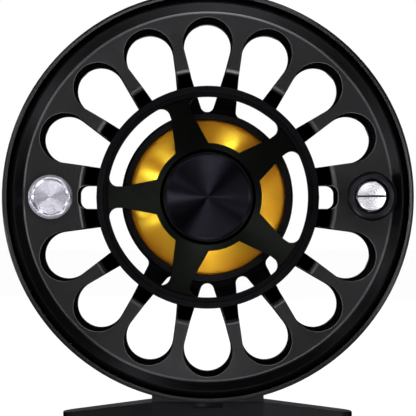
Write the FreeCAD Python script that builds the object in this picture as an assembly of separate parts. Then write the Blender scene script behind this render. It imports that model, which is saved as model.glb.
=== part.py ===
import FreeCAD, Part
import math
import os

# Fly reel, all sizes in millimetres. The spool turns about the Y axis, the handle side faces -Y,
# the drag knob faces +Y and the foot is at the bottom. Every piece is drawn about the spool axis
# and lifted by axis_height on export, so the origin is the centre of the foot's underside.
# A radius ends in _r, a place along the spool axis in _y and a height in _z.

# ---- general fits ----
full_turn = 360.0
seat_gap = 0.02
washer_gap = 0.05
running_fit = 0.06
overrun = 1.0

# ---- spool rim and flanges: everything along the axis is placed from the flange face ----
flange_face_y = -13.0
flange_thickness = 1.6
flange_rear_y = flange_face_y + flange_thickness
rim_r = 43.15
rim_bevel_width = 1.0
rim_bevel_height = 1.0
rim_crest_width = 0.4
rim_crest_height = 1.35
rim_ramp_width = 1.95
rim_lip_width = 1.55
rim_depth = 2.5
rim_crest_outer_r = rim_r - rim_bevel_width
rim_crest_inner_r = rim_crest_outer_r - rim_crest_width
rim_ramp_foot_r = rim_crest_inner_r - rim_ramp_width
rim_lip_inner_r = rim_r - rim_lip_width
rim_crest_y = flange_face_y - rim_crest_height
rim_bevel_y = rim_crest_y + rim_bevel_height
rim_rear_y = flange_face_y + rim_depth
arbor_r = 24.3
arbor_wall = 1.4
arbor_seat_r = arbor_r - arbor_wall
flange_shoulder_width = 2.9
flange_shoulder_round = 1.1
flange_shoulder_r = arbor_r + flange_shoulder_width
cone_depth = 5.8
cone_foot_y = flange_face_y + cone_depth
cone_foot_rear_y = cone_foot_y + flange_thickness
cone_rear_width = 4.4
cone_foot_width = 1.4
cone_rear_r = arbor_r + cone_rear_width
cone_foot_rear_r = arbor_r + cone_foot_width
back_flange_edge_round = 0.5

# ---- teardrop holes: placed by their outer ends and by the metal left between them ----
hole_pitch = 22.5
hole_positions = 16
hole_taper = 14.9
hole_sine = math.sin(math.radians(hole_pitch / 2))
front_hole_margin = 0.85
front_spoke_half_width = 1.145
front_hole_end_r = rim_ramp_foot_r - front_hole_margin
front_hole_round_r = (front_hole_end_r * hole_sine - front_spoke_half_width) / (1 + hole_sine)
front_hole_centre_r = front_hole_end_r - front_hole_round_r
short_hole_depth = 3.9
short_hole_width = 5.1
short_hole_corner = 1.8
short_hole_end_r = arbor_r + short_hole_depth

# ---- star ----
star_rim_width = 1.0
star_rim_inner_r = arbor_seat_r - star_rim_width
star_web_thickness = 2.7
star_crown_height = 4.0
star_rear_y = cone_foot_rear_y
star_front_outer_y = star_rear_y - star_web_thickness
star_front_inner_y = star_front_outer_y - star_crown_height
star_arm_angles = (36.0, 108.0, 180.0, 252.0, 324.0)
star_arm_inner_width = 7.3
star_arm_outer_width = 4.7
star_arm_straight = 3.5
star_arm_taper_end_r = star_rim_inner_r - star_arm_straight
star_corner_round = 1.9

# ---- spindle and bearings ----
spindle_r = 3.0
bearing_width = 3.5
bearing_height = 3.5
bearing_race = 1.05
bearing_ball_r = 0.85
bearing_ball_play = 0.04
bearing_balls = 9
bearing_r = spindle_r + bearing_height
bearing_gap = 0.8
bearing_spacing = bearing_width + bearing_gap
bearing_lip = 0.7
bearing_stop_r = bearing_r - bearing_lip

# ---- cap and the nose of the hub ----
cap_recess_width = 2.1
cap_recess_depth = 1.2
cap_rim_width = 1.05
cap_edge_inset = 0.3
cap_height = 2.5
cap_edge_round = 0.4
cap_dish_margin = 0.6
cap_dish_depth = 0.65
cap_side_wall = 1.6
cap_wall = 1.5
cap_spigot_fit = 0.05
oring_wire_r = 0.42
cap_recess_r = bearing_r + cap_recess_width
star_hub_nose_r = cap_recess_r + cap_rim_width
cap_r = star_hub_nose_r - cap_edge_inset
cap_dish_r = cap_r - cap_dish_margin
cap_spigot_r = cap_recess_r - cap_spigot_fit
cap_hollow_r = cap_spigot_r - cap_side_wall
star_hub_flare = 2.05
star_hub_cone_height = 3.8
star_hub_r = star_hub_nose_r + star_hub_flare
hub_nose_height = 1.1
star_hub_front_y = star_front_inner_y - hub_nose_height
star_hub_cone_y = star_hub_front_y + star_hub_cone_height
cap_front_y = star_hub_front_y - cap_height
cap_spigot_rear_y = star_hub_front_y + cap_recess_depth - seat_gap
cap_groove_y = (star_hub_front_y + cap_spigot_rear_y) / 2

# ---- along the spindle ----
bearing_front_y = star_hub_front_y + cap_recess_depth
bearing_stop_y = bearing_front_y + bearing_spacing + bearing_width
spindle_clip_thickness = 0.6
spindle_clip_width = 1.4
spindle_clip_groove = 0.6
spindle_nose = 1.1
spindle_clip_r = spindle_r + spindle_clip_width
spindle_clip_groove_r = spindle_r - spindle_clip_groove
spindle_clip_y = bearing_front_y - spindle_clip_thickness
spindle_front_y = spindle_clip_y - spindle_nose

# ---- drag rotor and one-way clutch ----
bush_wall = 0.84
rotor_wall = 1.1
bush_bore_r = spindle_r + running_fit
rotor_bore_r = bush_bore_r + bush_wall
rotor_r = rotor_bore_r + rotor_wall
clutch_roller_r = 0.7
clutch_roller_play = 0.1
clutch_rollers = 10
clutch_wall = 0.6
clutch_lip_gap = 0.7
clutch_length = 5.9
clutch_shoulder = 0.5
clutch_track_r = rotor_r + 2 * (clutch_roller_r + clutch_roller_play)
clutch_r = clutch_track_r + clutch_wall
clutch_lip_r = rotor_r + clutch_lip_gap
clutch_front_y = bearing_stop_y + clutch_shoulder
clutch_rear_y = clutch_front_y + clutch_length
hub_tail_wall = 1.2
hub_tail_overhang = 0.2
star_hub_rear_r = clutch_r + hub_tail_wall
star_hub_rear_y = clutch_rear_y + hub_tail_overhang
rotor_front_y = clutch_front_y
rotor_drive_height = 0.9
rotor_flats = 2 * (rotor_r + rotor_drive_height)

# ---- drag housing ----
housing_recess_gap = 0.7
housing_recess_depth_gap = 0.6
housing_recess_r = star_hub_rear_r + housing_recess_gap
housing_recess_y = star_hub_rear_y + housing_recess_depth_gap
housing_wall = 1.8
housing_wall_y = housing_recess_y + housing_wall
seal_height = 2.3
seal_depth = 1.1
seal_lip_r = rotor_r + running_fit
seal_r = rotor_r + seal_height
carbon_face = 6.6
carbon_drive_fit = 0.1
carbon_washer_flats = rotor_flats + 2 * carbon_drive_fit
steel_washer_hole_gap = 0.6
rotor_corner_r = rotor_flats / 2 / math.cos(math.radians(30))
steel_washer_hole_r = rotor_corner_r + steel_washer_hole_gap
carbon_washer_r = steel_washer_hole_r + carbon_face
steel_washer_overlap = 0.4
steel_washer_r = carbon_washer_r + steel_washer_overlap
housing_bore_gap = 0.2
housing_bore_r = steel_washer_r + housing_bore_gap
housing_side_wall = 2.55
housing_r = housing_bore_r + housing_side_wall
housing_groove_depth = 1.1
housing_groove_width = 2.4
housing_groove_r = housing_bore_r + housing_groove_depth
washer_ear_gap = 0.2
washer_ear_side_gap = 0.1
steel_washer_ear_r = housing_groove_r - washer_ear_gap
steel_washer_ear_width = housing_groove_width - 2 * washer_ear_side_gap
housing_nose_gap = 2.4
housing_nose_width = 0.8
housing_nose_r = housing_recess_r + housing_nose_width
housing_nose_y = star_rear_y + housing_nose_gap
housing_cone_depth = 3.8
housing_shoulder_y = housing_nose_y + housing_cone_depth
housing_edge_round = 0.35
steel_washer_thickness = 0.5
carbon_washer_thickness = 0.8
carbon_washers = 2
washer_pitch = steel_washer_thickness + carbon_washer_thickness + 2 * washer_gap
stack_front_y = housing_wall_y + washer_gap
stack_rear_y = stack_front_y + carbon_washers * washer_pitch + steel_washer_thickness
rotor_rear_y = stack_rear_y + washer_gap

# ---- springs, pressure plate and thrust pins ----
belleville_thickness = 0.35
belleville_rise = 0.25
belleville_travel = 0.5
belleville_edge_gap = 1.1
belleville_hole_gap = 0.2
pressure_plate_gap = 0.5
pressure_plate_thickness = 1.1
pressure_plate_hole_gap = 2.6
pressure_plate_r = housing_bore_r - pressure_plate_gap
pressure_plate_hole_r = spindle_r + pressure_plate_hole_gap
belleville_r = pressure_plate_r - belleville_edge_gap
belleville_hole_r = steel_washer_hole_r + belleville_hole_gap
belleville_front_y = stack_rear_y + belleville_travel
belleville_middle_y = belleville_front_y + belleville_rise + belleville_thickness + seat_gap
plate_front_face_y = belleville_middle_y + belleville_rise + belleville_thickness + seat_gap
plate_rear_face_y = plate_front_face_y + pressure_plate_thickness
pressure_plate_space = 0.61

# ---- frame back plate and hub cup ----
hub_wall_thickness = 2.0
plate_thickness = 3.4
plate_edge_chamfer = 0.5
hub_wall_front_y = plate_rear_face_y + pressure_plate_space
plate_rear_y = hub_wall_front_y + hub_wall_thickness
plate_front_y = plate_rear_y - plate_thickness
housing_seat = 0.05
housing_rear_y = hub_wall_front_y - housing_seat
hub_cup_wall = 1.6
hub_cup_bore_r = housing_r + housing_seat
hub_cup_outer_r = hub_cup_bore_r + hub_cup_wall
hub_cup_reach = 1.6
hub_cup_front_y = housing_nose_y + hub_cup_reach
hub_edge_round = 0.4

# ---- cage ----
rim_clearance = 0.3
cage_wall = 1.0
cage_bore_r = rim_r + rim_clearance
frame_r = cage_bore_r + cage_wall
cage_nose = 0.8
cage_ring_overlap = 0.5
cage_front_y = flange_face_y - cage_nose
cage_ring_rear_y = rim_rear_y + cage_ring_overlap
cage_edge_round = 0.55
strap_thickness = 2.55
strap_width = 7.5
strap_angles = (60.0, 120.0, 195.0, 345.0)
strap_inner_r = frame_r - strap_thickness

# ---- ports in the back plate ----
plate_ring_width = 5.55
port_spoke_half_width = 1.136
port_inner_round_r = 1.5
port_foot_gap = 0.4
port_end_r = frame_r - plate_ring_width
port_round_r = (port_end_r * hole_sine - port_spoke_half_width) / (1 + hole_sine)
port_centre_r = port_end_r - port_round_r
port_inner_end_r = hub_cup_outer_r + port_foot_gap
port_angles = (90.0, 247.5, 270.0, 292.5)
side_window_spans = ((112.5, 225.0), (315.0, 427.5))

# ---- back flange ----
back_flange_side_gap = 1.0
back_flange_rim_gap = 0.5
back_hole_margin = 2.7
back_spoke_half_width = 1.336
arbor_rear_y = plate_front_y - back_flange_side_gap
back_flange_front_y = arbor_rear_y - flange_thickness
back_flange_r = strap_inner_r - back_flange_rim_gap
back_hole_end_r = back_flange_r - back_hole_margin
back_hole_round_r = (back_hole_end_r * hole_sine - back_spoke_half_width) / (1 + hole_sine)
back_hole_centre_r = back_hole_end_r - back_hole_round_r

# ---- frame screws ----
frame_screw_head_r = 1.15
frame_screw_head_height = 0.8
frame_screw_shank_r = 0.6
frame_screw_length = 5.0
frame_screw_inset = 1.35
frame_screw_circle_r = frame_r - frame_screw_inset
housing_screw_head_r = 1.7
housing_screw_head_height = 0.9
housing_screw_shank_r = 0.8
housing_screw_length = 4.6
housing_screws = 6
housing_screw_circle_r = (housing_bore_r + housing_r) / 2

# ---- pedestal and foot ----
pedestal_half_length = 12.2
pedestal_half_width = 6.4
pedestal_drop = 0.3
pedestal_bottom_z = -(frame_r + pedestal_drop)
foot_thickness = 4.15
axis_height = foot_thickness - pedestal_bottom_z
foot_half_length = 31.75
foot_tip_thickness = 1.75
foot_end_top_z = foot_tip_thickness - axis_height
foot_half_width = 6.7
foot_tip_half_width = 4.4
foot_tip_round = 3.0
foot_channel_r = 14.0
foot_channel_depth = 1.0
foot_scallop_r = 7.2
foot_scallop_depth = 0.8
foot_scallop_height = 1.1
foot_screw_spacing = 15.0
foot_screw_head_r = 2.7
foot_screw_shank_r = 1.45
foot_screw_cone = 1.5
foot_screw_length = 5.6

# ---- rear of the spindle and thrust pins ----
spindle_shoulder_width = 2.0
spindle_shoulder_thickness = 1.0
spindle_shoulder_r = spindle_r + spindle_shoulder_width
spindle_shoulder_y = hub_wall_front_y - spindle_shoulder_thickness
spindle_nut_flats = 8.0
spindle_nut_height = 2.4
spindle_nut_rear_y = plate_rear_y + spindle_nut_height
spindle_tail_step = 1.0
spindle_tail_r = spindle_r - spindle_tail_step
thrust_pin_r = 0.8
thrust_pins = 3
thrust_pin_circle_r = 9.5
thrust_pin_reach = 0.7
thrust_pin_rear_y = plate_rear_y + thrust_pin_reach

# ---- click work ----
click_tooth_height = 0.45
click_ring_land = 0.6
click_ring_thickness = 1.3
click_teeth = 40
click_root_share = 0.25
click_tip_share = 0.1
click_ring_root_r = housing_recess_r + click_ring_land
click_ring_tip_r = click_ring_root_r + click_tooth_height
click_ring_front_y = housing_nose_y - click_ring_thickness
pawl_angle = 36.0
pawl_tip_gap = 0.1
pawl_reach = 3.35
pawl_eye_r = 1.0
pawl_pin_r = 0.5
pawl_pin_clearance = 0.05
pawl_tip_half_width = 0.3
pawl_thickness = 1.0
pawl_side_gap = 1.0
pawl_tail_length = 1.8
pawl_tail_half_width = 0.35
pawl_tip_r = click_ring_tip_r + pawl_tip_gap
pawl_pivot_r = pawl_tip_r + pawl_reach
pawl_tail_r = pawl_pivot_r + pawl_tail_length
pawl_front_y = star_rear_y + pawl_side_gap
pawl_rear_y = pawl_front_y + pawl_thickness
pawl_spring_thickness = 0.2
pawl_spring_gap = 0.12
pawl_spring_length = 2.23
pawl_spring_post_size = 0.9
pawl_spring_front_r = pawl_tail_r + pawl_spring_gap
pawl_spring_rear_r = pawl_spring_front_r + pawl_spring_length
pawl_spring_post_r = pawl_spring_rear_r + pawl_spring_post_size / 2

# ---- drag knob ----
knob_r = 12.6
knob_side_gap = 0.6
knob_height = 8.8
knob_edge_round = 1.2
knob_scallop_r = 2.1
knob_scallop_depth = 0.9
knob_scallops = 12
knob_nut_gap = 0.8
knob_dish_margin = 4.4
knob_dish_depth = 0.8
knob_front_y = plate_rear_y + knob_side_gap
knob_rear_y = knob_front_y + knob_height
knob_dish_r = knob_r - knob_dish_margin
knob_dish_y = knob_rear_y - knob_dish_depth
knob_bore_r = spindle_tail_r + running_fit
knob_nut_recess_r = spindle_nut_flats / 2 / math.cos(math.radians(30)) + knob_nut_gap
knob_nut_recess_y = spindle_nut_rear_y + knob_nut_gap
knob_screw_head_r = 3.4
knob_screw_head_height = 1.8
knob_screw_shank_r = 1.1
knob_screw_length = 5.0
knob_screw_slot = 0.8
knob_washer_r = 4.0
knob_washer_thickness = 0.5
knob_washer_y = knob_dish_y + seat_gap
spindle_tail_y = knob_washer_y + knob_washer_thickness
cam_ring_width = 2.7
cam_ring_thickness = 1.0
cam_ring_overhang = 0.8
cam_ring_r = thrust_pin_circle_r + cam_ring_overhang
cam_ring_bore_r = cam_ring_r - cam_ring_width
cam_ring_front_y = thrust_pin_rear_y + seat_gap
cam_ring_rear_y = cam_ring_front_y + cam_ring_thickness
detent_angle = 75.0
detent_inset = 1.0
detent_ball_r = 0.6
detent_pocket_r = 0.65
detent_pocket_depth = 4.4
detent_wire_r = 0.12
detent_coil_r = 0.42
detent_coils = 5
detent_circle_r = cam_ring_r + detent_inset

# ---- counterweight ----
crank_inset = 5.95
crank_r = rim_ramp_foot_r - crank_inset
counterweight_r = 4.75
counterweight_height = 4.0
counterweight_edge_chamfer = 0.5
counterweight_dish_margin = 1.15
counterweight_dish_depth = 0.15
counterweight_screw_r = 1.2
counterweight_screw_head_r = 2.3
counterweight_screw_head_height = 0.9
counterweight_screw_length = 3.6
counterweight_front_y = flange_face_y - counterweight_height
counterweight_dish_r = counterweight_r - counterweight_dish_margin

# ---- handle ----
post_base_r = 3.3
post_base_thickness = 1.2
post_r = 1.9
post_rivet_r = 1.5
post_base_y = flange_face_y - post_base_thickness
handle_side_gap = 0.5
handle_length = 21.9
handle_base_y = post_base_y - handle_side_gap
handle_end_y = handle_base_y - handle_length
handle_recess_depth = 2.6
handle_recess_y = handle_end_y + handle_recess_depth
post_setback = 0.4
post_front_y = handle_recess_y + post_setback
knob_bush_wall = 0.65
knob_bush_length = 4.0
knob_bush_bore_r = post_r + running_fit
knob_bush_r = knob_bush_bore_r + knob_bush_wall
handle_base_r = 3.9
handle_waist_r = 3.35
handle_waist_offset = 5.8
handle_flare_r = 4.95
handle_flare_offset = 5.1
handle_end_r = 5.18
handle_lip_round = 0.85
handle_waist_y = handle_base_y - handle_waist_offset
handle_flare_y = handle_end_y + handle_flare_offset
handle_screw_head_r = 3.13
handle_screw_head_gap = 0.32
handle_screw_head_height = 1.5
handle_screw_shank_r = 1.0
handle_screw_length = 6.0
handle_screw_slot = 0.4
handle_screw_slot_depth = 0.6
handle_recess_r = handle_screw_head_r + handle_screw_head_gap
handle_washer_r = 3.2
handle_washer_thickness = 0.3
handle_washer_gap = 0.15

Vector = FreeCAD.Vector
centre = Vector(0, 0, 0)
spool_axis = Vector(0, 1, 0)
tiny = 1e-4


def positive(shape):
    """Return the shape with outward normals."""
    if shape.Volume < 0:
        shape.reverse()
    return shape


def turned(profile):
    """Revolve a closed (radius, y) outline about the spool axis."""
    points = [Vector(radius, y, 0) for radius, y in profile]
    face = Part.Face(Part.makePolygon(points + points[:1]))
    return positive(face.revolve(centre, spool_axis, full_turn))


def ring(outer_r, inner_r, y_from, y_to):
    """A flat-ended tube about the spool axis."""
    return turned([(inner_r, y_from), (outer_r, y_from), (outer_r, y_to), (inner_r, y_to)])


def disc(radius, y_from, y_to):
    """A flat-ended cylinder about the spool axis."""
    return Part.makeCylinder(radius, y_to - y_from, Vector(0, y_from, 0), spool_axis)


def prism(outline, y_from, y_to):
    """Extrude a closed (x, z) outline along the spool axis."""
    points = [Vector(x, y_from, z) for x, z in outline]
    face = Part.Face(Part.makePolygon(points + points[:1]))
    return positive(face.extrude(Vector(0, y_to - y_from, 0)))


def hexagon(flats, y_from, y_to):
    """A hexagonal bar about the spool axis, sized across its flats."""
    corner_r = flats / 2 / math.cos(math.radians(30))
    corners = [math.radians(60 * step) for step in range(6)]
    outline = [(corner_r * math.cos(a), corner_r * math.sin(a)) for a in corners]
    return prism(outline, y_from, y_to)


def swung(shape, angle):
    """A copy turned about the spool axis, counter-clockwise as seen from the handle side."""
    copy = shape.copy()
    copy.rotate(centre, Vector(0, -1, 0), angle)
    return copy


def outward(shape, radius, angle=0.0):
    """A copy moved out to a radius and then swung to an angle."""
    copy = shape.copy()
    copy.translate(Vector(radius, 0, 0))
    return swung(copy, angle)


def spread(shape, count, radius=0.0, start=0.0):
    """Equal copies around the spool axis."""
    return [outward(shape, radius, start + full_turn * step / count) for step in range(count)]


def round_rim(shape, edge_r, edge_y, size, chamfer=False):
    """Round or chamfer the circular edge of a given radius and height along the spool axis."""
    edges = []
    for edge in shape.Edges:
        curve = edge.Curve
        if not isinstance(curve, Part.Circle):
            continue
        if abs(curve.Radius - edge_r) < tiny and abs(curve.Center.y - edge_y) < tiny:
            edges.append(edge)
    if chamfer:
        return shape.makeChamfer(size, edges)
    return shape.makeFillet(size, edges)


def upright_edges(shape, near_points):
    """Edges that run along the spool axis through any of the given (x, z) points."""
    found = []
    for edge in shape.Edges:
        ends = [vertex.Point for vertex in edge.Vertexes]
        if len(ends) != 2 or abs(ends[0].x - ends[1].x) > tiny or abs(ends[0].z - ends[1].z) > tiny:
            continue
        for x, z in near_points:
            if abs(ends[0].x - x) < tiny and abs(ends[0].z - z) < tiny:
                found.append(edge)
    return found


def teardrop(centre_r, round_r, inner_r, y_from, y_to):
    """A hole cutter along +X: round outside, straight sides closing inward, concentric inner end."""
    slope = math.tan(math.radians(hole_taper))
    touch_x = centre_r - round_r * math.sin(math.radians(hole_taper))
    touch_z = round_r * math.cos(math.radians(hole_taper))
    root_x = inner_r / 2
    root_z = touch_z - (touch_x - root_x) * slope
    wedge = prism([(root_x, -root_z), (touch_x, -touch_z), (touch_x, touch_z), (root_x, root_z)],
                  y_from, y_to)
    bulb = disc(round_r, y_from, y_to)
    bulb.translate(Vector(centre_r, 0, 0))
    return wedge.fuse(bulb).removeSplitter().cut(disc(inner_r, y_from - overrun, y_to + overrun))


def short_hole(inner_r, y_from, y_to):
    """The two small holes beside the counterweight and the handle."""
    half = short_hole_width / 2
    block = prism([(inner_r / 2, -half), (short_hole_end_r, -half), (short_hole_end_r, half),
                   (inner_r / 2, half)], y_from, y_to)
    corners = upright_edges(block, [(short_hole_end_r, -half), (short_hole_end_r, half)])
    block = block.makeFillet(short_hole_corner, corners)
    return block.cut(disc(inner_r, y_from - overrun, y_to + overrun))


def perforated(shape, centre_r, round_r, y_from, y_to):
    """Cut the ring of holes: small ones at 0 and 180 degrees, teardrops everywhere else."""
    large = teardrop(centre_r, round_r, arbor_r, y_from, y_to)
    small = short_hole(arbor_r, y_from, y_to)
    for step in range(hole_positions):
        cutter = small if step % (hole_positions // 2) == 0 else large
        shape = shape.cut(swung(cutter, step * hole_pitch))
    return shape


def screw(head_r, head_height, shank_r, length, y_head, facing, slot=0.0, slot_depth=0.0):
    """A screw on the spool axis whose head's outer face is at y_head and looks along facing."""
    inner = y_head - facing * head_height
    tip = inner - facing * length
    body = disc(head_r, min(y_head, inner), max(y_head, inner))
    body = round_rim(body, head_r, y_head, head_height / 4)
    body = body.fuse(disc(shank_r, min(inner, tip), max(inner, tip))).removeSplitter()
    if slot:
        floor = y_head - facing * slot_depth
        top = y_head + facing * overrun
        reach = head_r + overrun
        outline = [(-reach, -slot / 2), (reach, -slot / 2), (reach, slot / 2), (-reach, slot / 2)]
        body = body.cut(prism(outline, min(floor, top), max(floor, top)))
    return body


# ================= frame =================
def frame_cage():
    """Front ring, four cross straps and the pedestal block that carries the foot."""
    hoop = ring(frame_r, cage_bore_r, cage_front_y, cage_ring_rear_y)
    hoop = round_rim(hoop, frame_r, cage_front_y, cage_edge_round)
    shell = ring(frame_r, strap_inner_r, cage_ring_rear_y, plate_front_y)
    half = strap_width / 2
    reach = frame_r + overrun
    band = prism([(arbor_r, -half), (reach, -half), (reach, half), (arbor_r, half)],
                 cage_ring_rear_y, plate_front_y)
    solid = hoop
    for angle in strap_angles:
        solid = solid.fuse(shell.common(swung(band, angle)))
    block = prism([(-pedestal_half_length, pedestal_bottom_z), (pedestal_half_length, pedestal_bottom_z),
                   (pedestal_half_length, -arbor_r), (-pedestal_half_length, -arbor_r)],
                  -pedestal_half_width, plate_front_y)
    block = block.cut(disc(strap_inner_r, -pedestal_half_width - overrun, plate_front_y + overrun))
    bridge = prism([(-pedestal_half_length, -frame_r - overrun), (pedestal_half_length, -frame_r - overrun),
                    (pedestal_half_length, -arbor_r), (-pedestal_half_length, -arbor_r)],
                   cage_ring_rear_y, plate_front_y)
    solid = solid.fuse(block).fuse(shell.common(bridge)).removeSplitter()
    for screw_solid in frame_screw_set():
        solid = solid.cut(screw_solid)
    for screw_solid in foot_screw_set():
        solid = solid.cut(screw_solid)
    return solid


def frame_screw_set():
    """One screw into each strap and two into the pedestal, all from the rear."""
    one = screw(frame_screw_head_r, frame_screw_head_height, frame_screw_shank_r, frame_screw_length,
                plate_rear_y, 1)
    pedestal_angle = math.degrees(math.asin((pedestal_half_length / 2) / frame_screw_circle_r))
    angles = strap_angles + (270.0 - pedestal_angle, 270.0 + pedestal_angle)
    return [outward(one, frame_screw_circle_r, angle) for angle in angles]


def port(y_from, y_to):
    """A tapered slot cutter along +X: a large round outside, a small one near the hub."""
    inner_centre_r = port_inner_end_r + port_inner_round_r
    lean = math.asin((port_round_r - port_inner_round_r) / (port_centre_r - inner_centre_r))
    touches = []
    for centre_x, radius in ((inner_centre_r, port_inner_round_r), (port_centre_r, port_round_r)):
        touches.append((centre_x - radius * math.sin(lean), radius * math.cos(lean)))
    (near_x, near_z), (far_x, far_z) = touches
    solid = prism([(near_x, -near_z), (far_x, -far_z), (far_x, far_z), (near_x, near_z)], y_from, y_to)
    solid = solid.fuse(outward(disc(port_inner_round_r, y_from, y_to), inner_centre_r))
    return solid.fuse(outward(disc(port_round_r, y_from, y_to), port_centre_r)).removeSplitter()


def side_window(angle_from, angle_to, y_from, y_to):
    """A large window cutter between two port positions, open from hub to ring."""
    band = ring(port_end_r, port_inner_end_r, y_from, y_to)
    reach = 2 * frame_r
    middle = (angle_from + angle_to) / 2
    corners = [(0.0, 0.0)]
    for angle in (angle_from, middle, angle_to):
        turn = math.radians(angle)
        corners.append((reach * math.cos(turn), reach * math.sin(turn)))
    solid = band.common(prism(corners, y_from, y_to))
    for angle in (angle_from, angle_to):
        solid = solid.fuse(swung(port(y_from, y_to), angle))
    return solid.removeSplitter()


def frame_back_plate():
    """Rear ring, six spokes and the hub cup that holds the drag housing."""
    solid = disc(frame_r, plate_front_y, plate_rear_y)
    solid = round_rim(solid, frame_r, plate_rear_y, plate_edge_chamfer, chamfer=True)
    through_from = plate_front_y - overrun
    through_to = plate_rear_y + overrun
    for angle in port_angles:
        solid = solid.cut(swung(port(through_from, through_to), angle))
    for span in side_window_spans:
        solid = solid.cut(side_window(span[0], span[1], through_from, through_to))
    cup = disc(hub_cup_outer_r, hub_cup_front_y, plate_rear_y)
    cup = round_rim(cup, hub_cup_outer_r, hub_cup_front_y, hub_edge_round)
    solid = solid.fuse(cup).removeSplitter()
    solid = solid.cut(disc(hub_cup_bore_r, hub_cup_front_y - overrun, hub_wall_front_y))
    solid = solid.cut(disc(spindle_r, hub_wall_front_y - overrun, through_to))
    for hole in spread(disc(thrust_pin_r + running_fit, hub_wall_front_y - overrun,
                            through_to), thrust_pins, thrust_pin_circle_r, 90.0):
        solid = solid.cut(hole)
    for screw_solid in frame_screw_set() + housing_screw_set():
        solid = solid.cut(screw_solid)
    return solid


def foot_profile():
    """Side outline of the foot, from tip to tip."""
    tip_bottom = -axis_height
    return [(-foot_half_length, tip_bottom), (foot_half_length, tip_bottom),
            (foot_half_length, foot_end_top_z), (pedestal_half_length, pedestal_bottom_z),
            (-pedestal_half_length, pedestal_bottom_z), (-foot_half_length, foot_end_top_z)]


def reel_foot():
    """The rod foot: sloping top, tapered tips, and a shallow channel under each tip."""
    solid = prism(foot_profile(), -foot_half_width, foot_half_width)
    plan = [(-foot_half_length, -foot_tip_half_width), (-pedestal_half_length, -foot_half_width),
            (pedestal_half_length, -foot_half_width), (foot_half_length, -foot_tip_half_width),
            (foot_half_length, foot_tip_half_width), (pedestal_half_length, foot_half_width),
            (-pedestal_half_length, foot_half_width), (-foot_half_length, foot_tip_half_width)]
    points = [Vector(x, y, -axis_height - overrun) for x, y in plan]
    footprint = Part.Face(Part.makePolygon(points + points[:1]))
    height = axis_height + pedestal_bottom_z + 2 * overrun
    plan_solid = positive(footprint.extrude(Vector(0, 0, height)))
    tips = []
    for edge in plan_solid.Edges:
        ends = [vertex.Point for vertex in edge.Vertexes]
        level = abs(ends[0].x - ends[1].x) < tiny and abs(ends[0].y - ends[1].y) < tiny
        if level and abs(abs(ends[0].x) - foot_half_length) < tiny:
            tips.append(edge)
    plan_solid = plan_solid.makeFillet(foot_tip_round, tips)
    solid = solid.common(plan_solid)
    channel_z = -axis_height + foot_channel_depth - foot_channel_r
    reach = foot_half_length - pedestal_half_length + overrun
    for side in (-1, 1):
        start = Vector(side * pedestal_half_length, 0, channel_z)
        channel = Part.makeCylinder(foot_channel_r, reach, start, Vector(side, 0, 0))
        solid = solid.cut(channel)
    scallop_y = -foot_half_width + foot_scallop_depth - foot_scallop_r
    scallop = Part.makeCylinder(foot_scallop_r, foot_scallop_height + overrun,
                                Vector(0, scallop_y, pedestal_bottom_z - foot_scallop_height),
                                Vector(0, 0, 1))
    solid = solid.cut(scallop)
    for screw_solid in foot_screw_set():
        solid = solid.cut(screw_solid)
    return solid


def foot_screw_set():
    """Two countersunk screws up through the foot into the pedestal."""
    head_z = -axis_height
    cone = Part.makeCone(foot_screw_head_r, foot_screw_shank_r, foot_screw_cone, Vector(0, 0, head_z))
    shank = Part.makeCylinder(foot_screw_shank_r, foot_screw_length, Vector(0, 0, head_z))
    one = cone.fuse(shank).removeSplitter()
    pair = []
    for side in (-1, 1):
        copy = one.copy()
        copy.translate(Vector(side * foot_screw_spacing / 2, 0, 0))
        pair.append(copy)
    return pair


# ================= spool shell =================
def spool_front_flange():
    """Rim, flat flange face and the steep cone down to the arbor, with the ring of holes."""
    shape = turned([(rim_ramp_foot_r, flange_face_y), (rim_crest_inner_r, rim_crest_y),
                    (rim_crest_outer_r, rim_crest_y), (rim_r, rim_bevel_y), (rim_r, rim_rear_y),
                    (rim_lip_inner_r, rim_rear_y), (rim_lip_inner_r, flange_rear_y),
                    (cone_rear_r, flange_rear_y), (cone_foot_rear_r, cone_foot_rear_y),
                    (arbor_seat_r, cone_foot_rear_y), (arbor_seat_r, cone_foot_y),
                    (arbor_r, cone_foot_y), (flange_shoulder_r, flange_face_y)])
    shape = round_rim(shape, flange_shoulder_r, flange_face_y, flange_shoulder_round)
    return perforated(shape, front_hole_centre_r, front_hole_round_r,
                      rim_crest_y - overrun, cone_foot_rear_y + overrun)


def spool_arbor():
    """The tube the line is wound on, with a thin seat for the rear flange."""
    return ring(arbor_r, arbor_seat_r, cone_foot_rear_y, arbor_rear_y)


def spool_back_flange():
    """Flat rear flange with its own ring of holes."""
    shape = ring(back_flange_r, arbor_r, back_flange_front_y, arbor_rear_y)
    shape = round_rim(shape, back_flange_r, arbor_rear_y, back_flange_edge_round)
    return perforated(shape, back_hole_centre_r, back_hole_round_r,
                      back_flange_front_y - overrun, arbor_rear_y + overrun)


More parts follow.
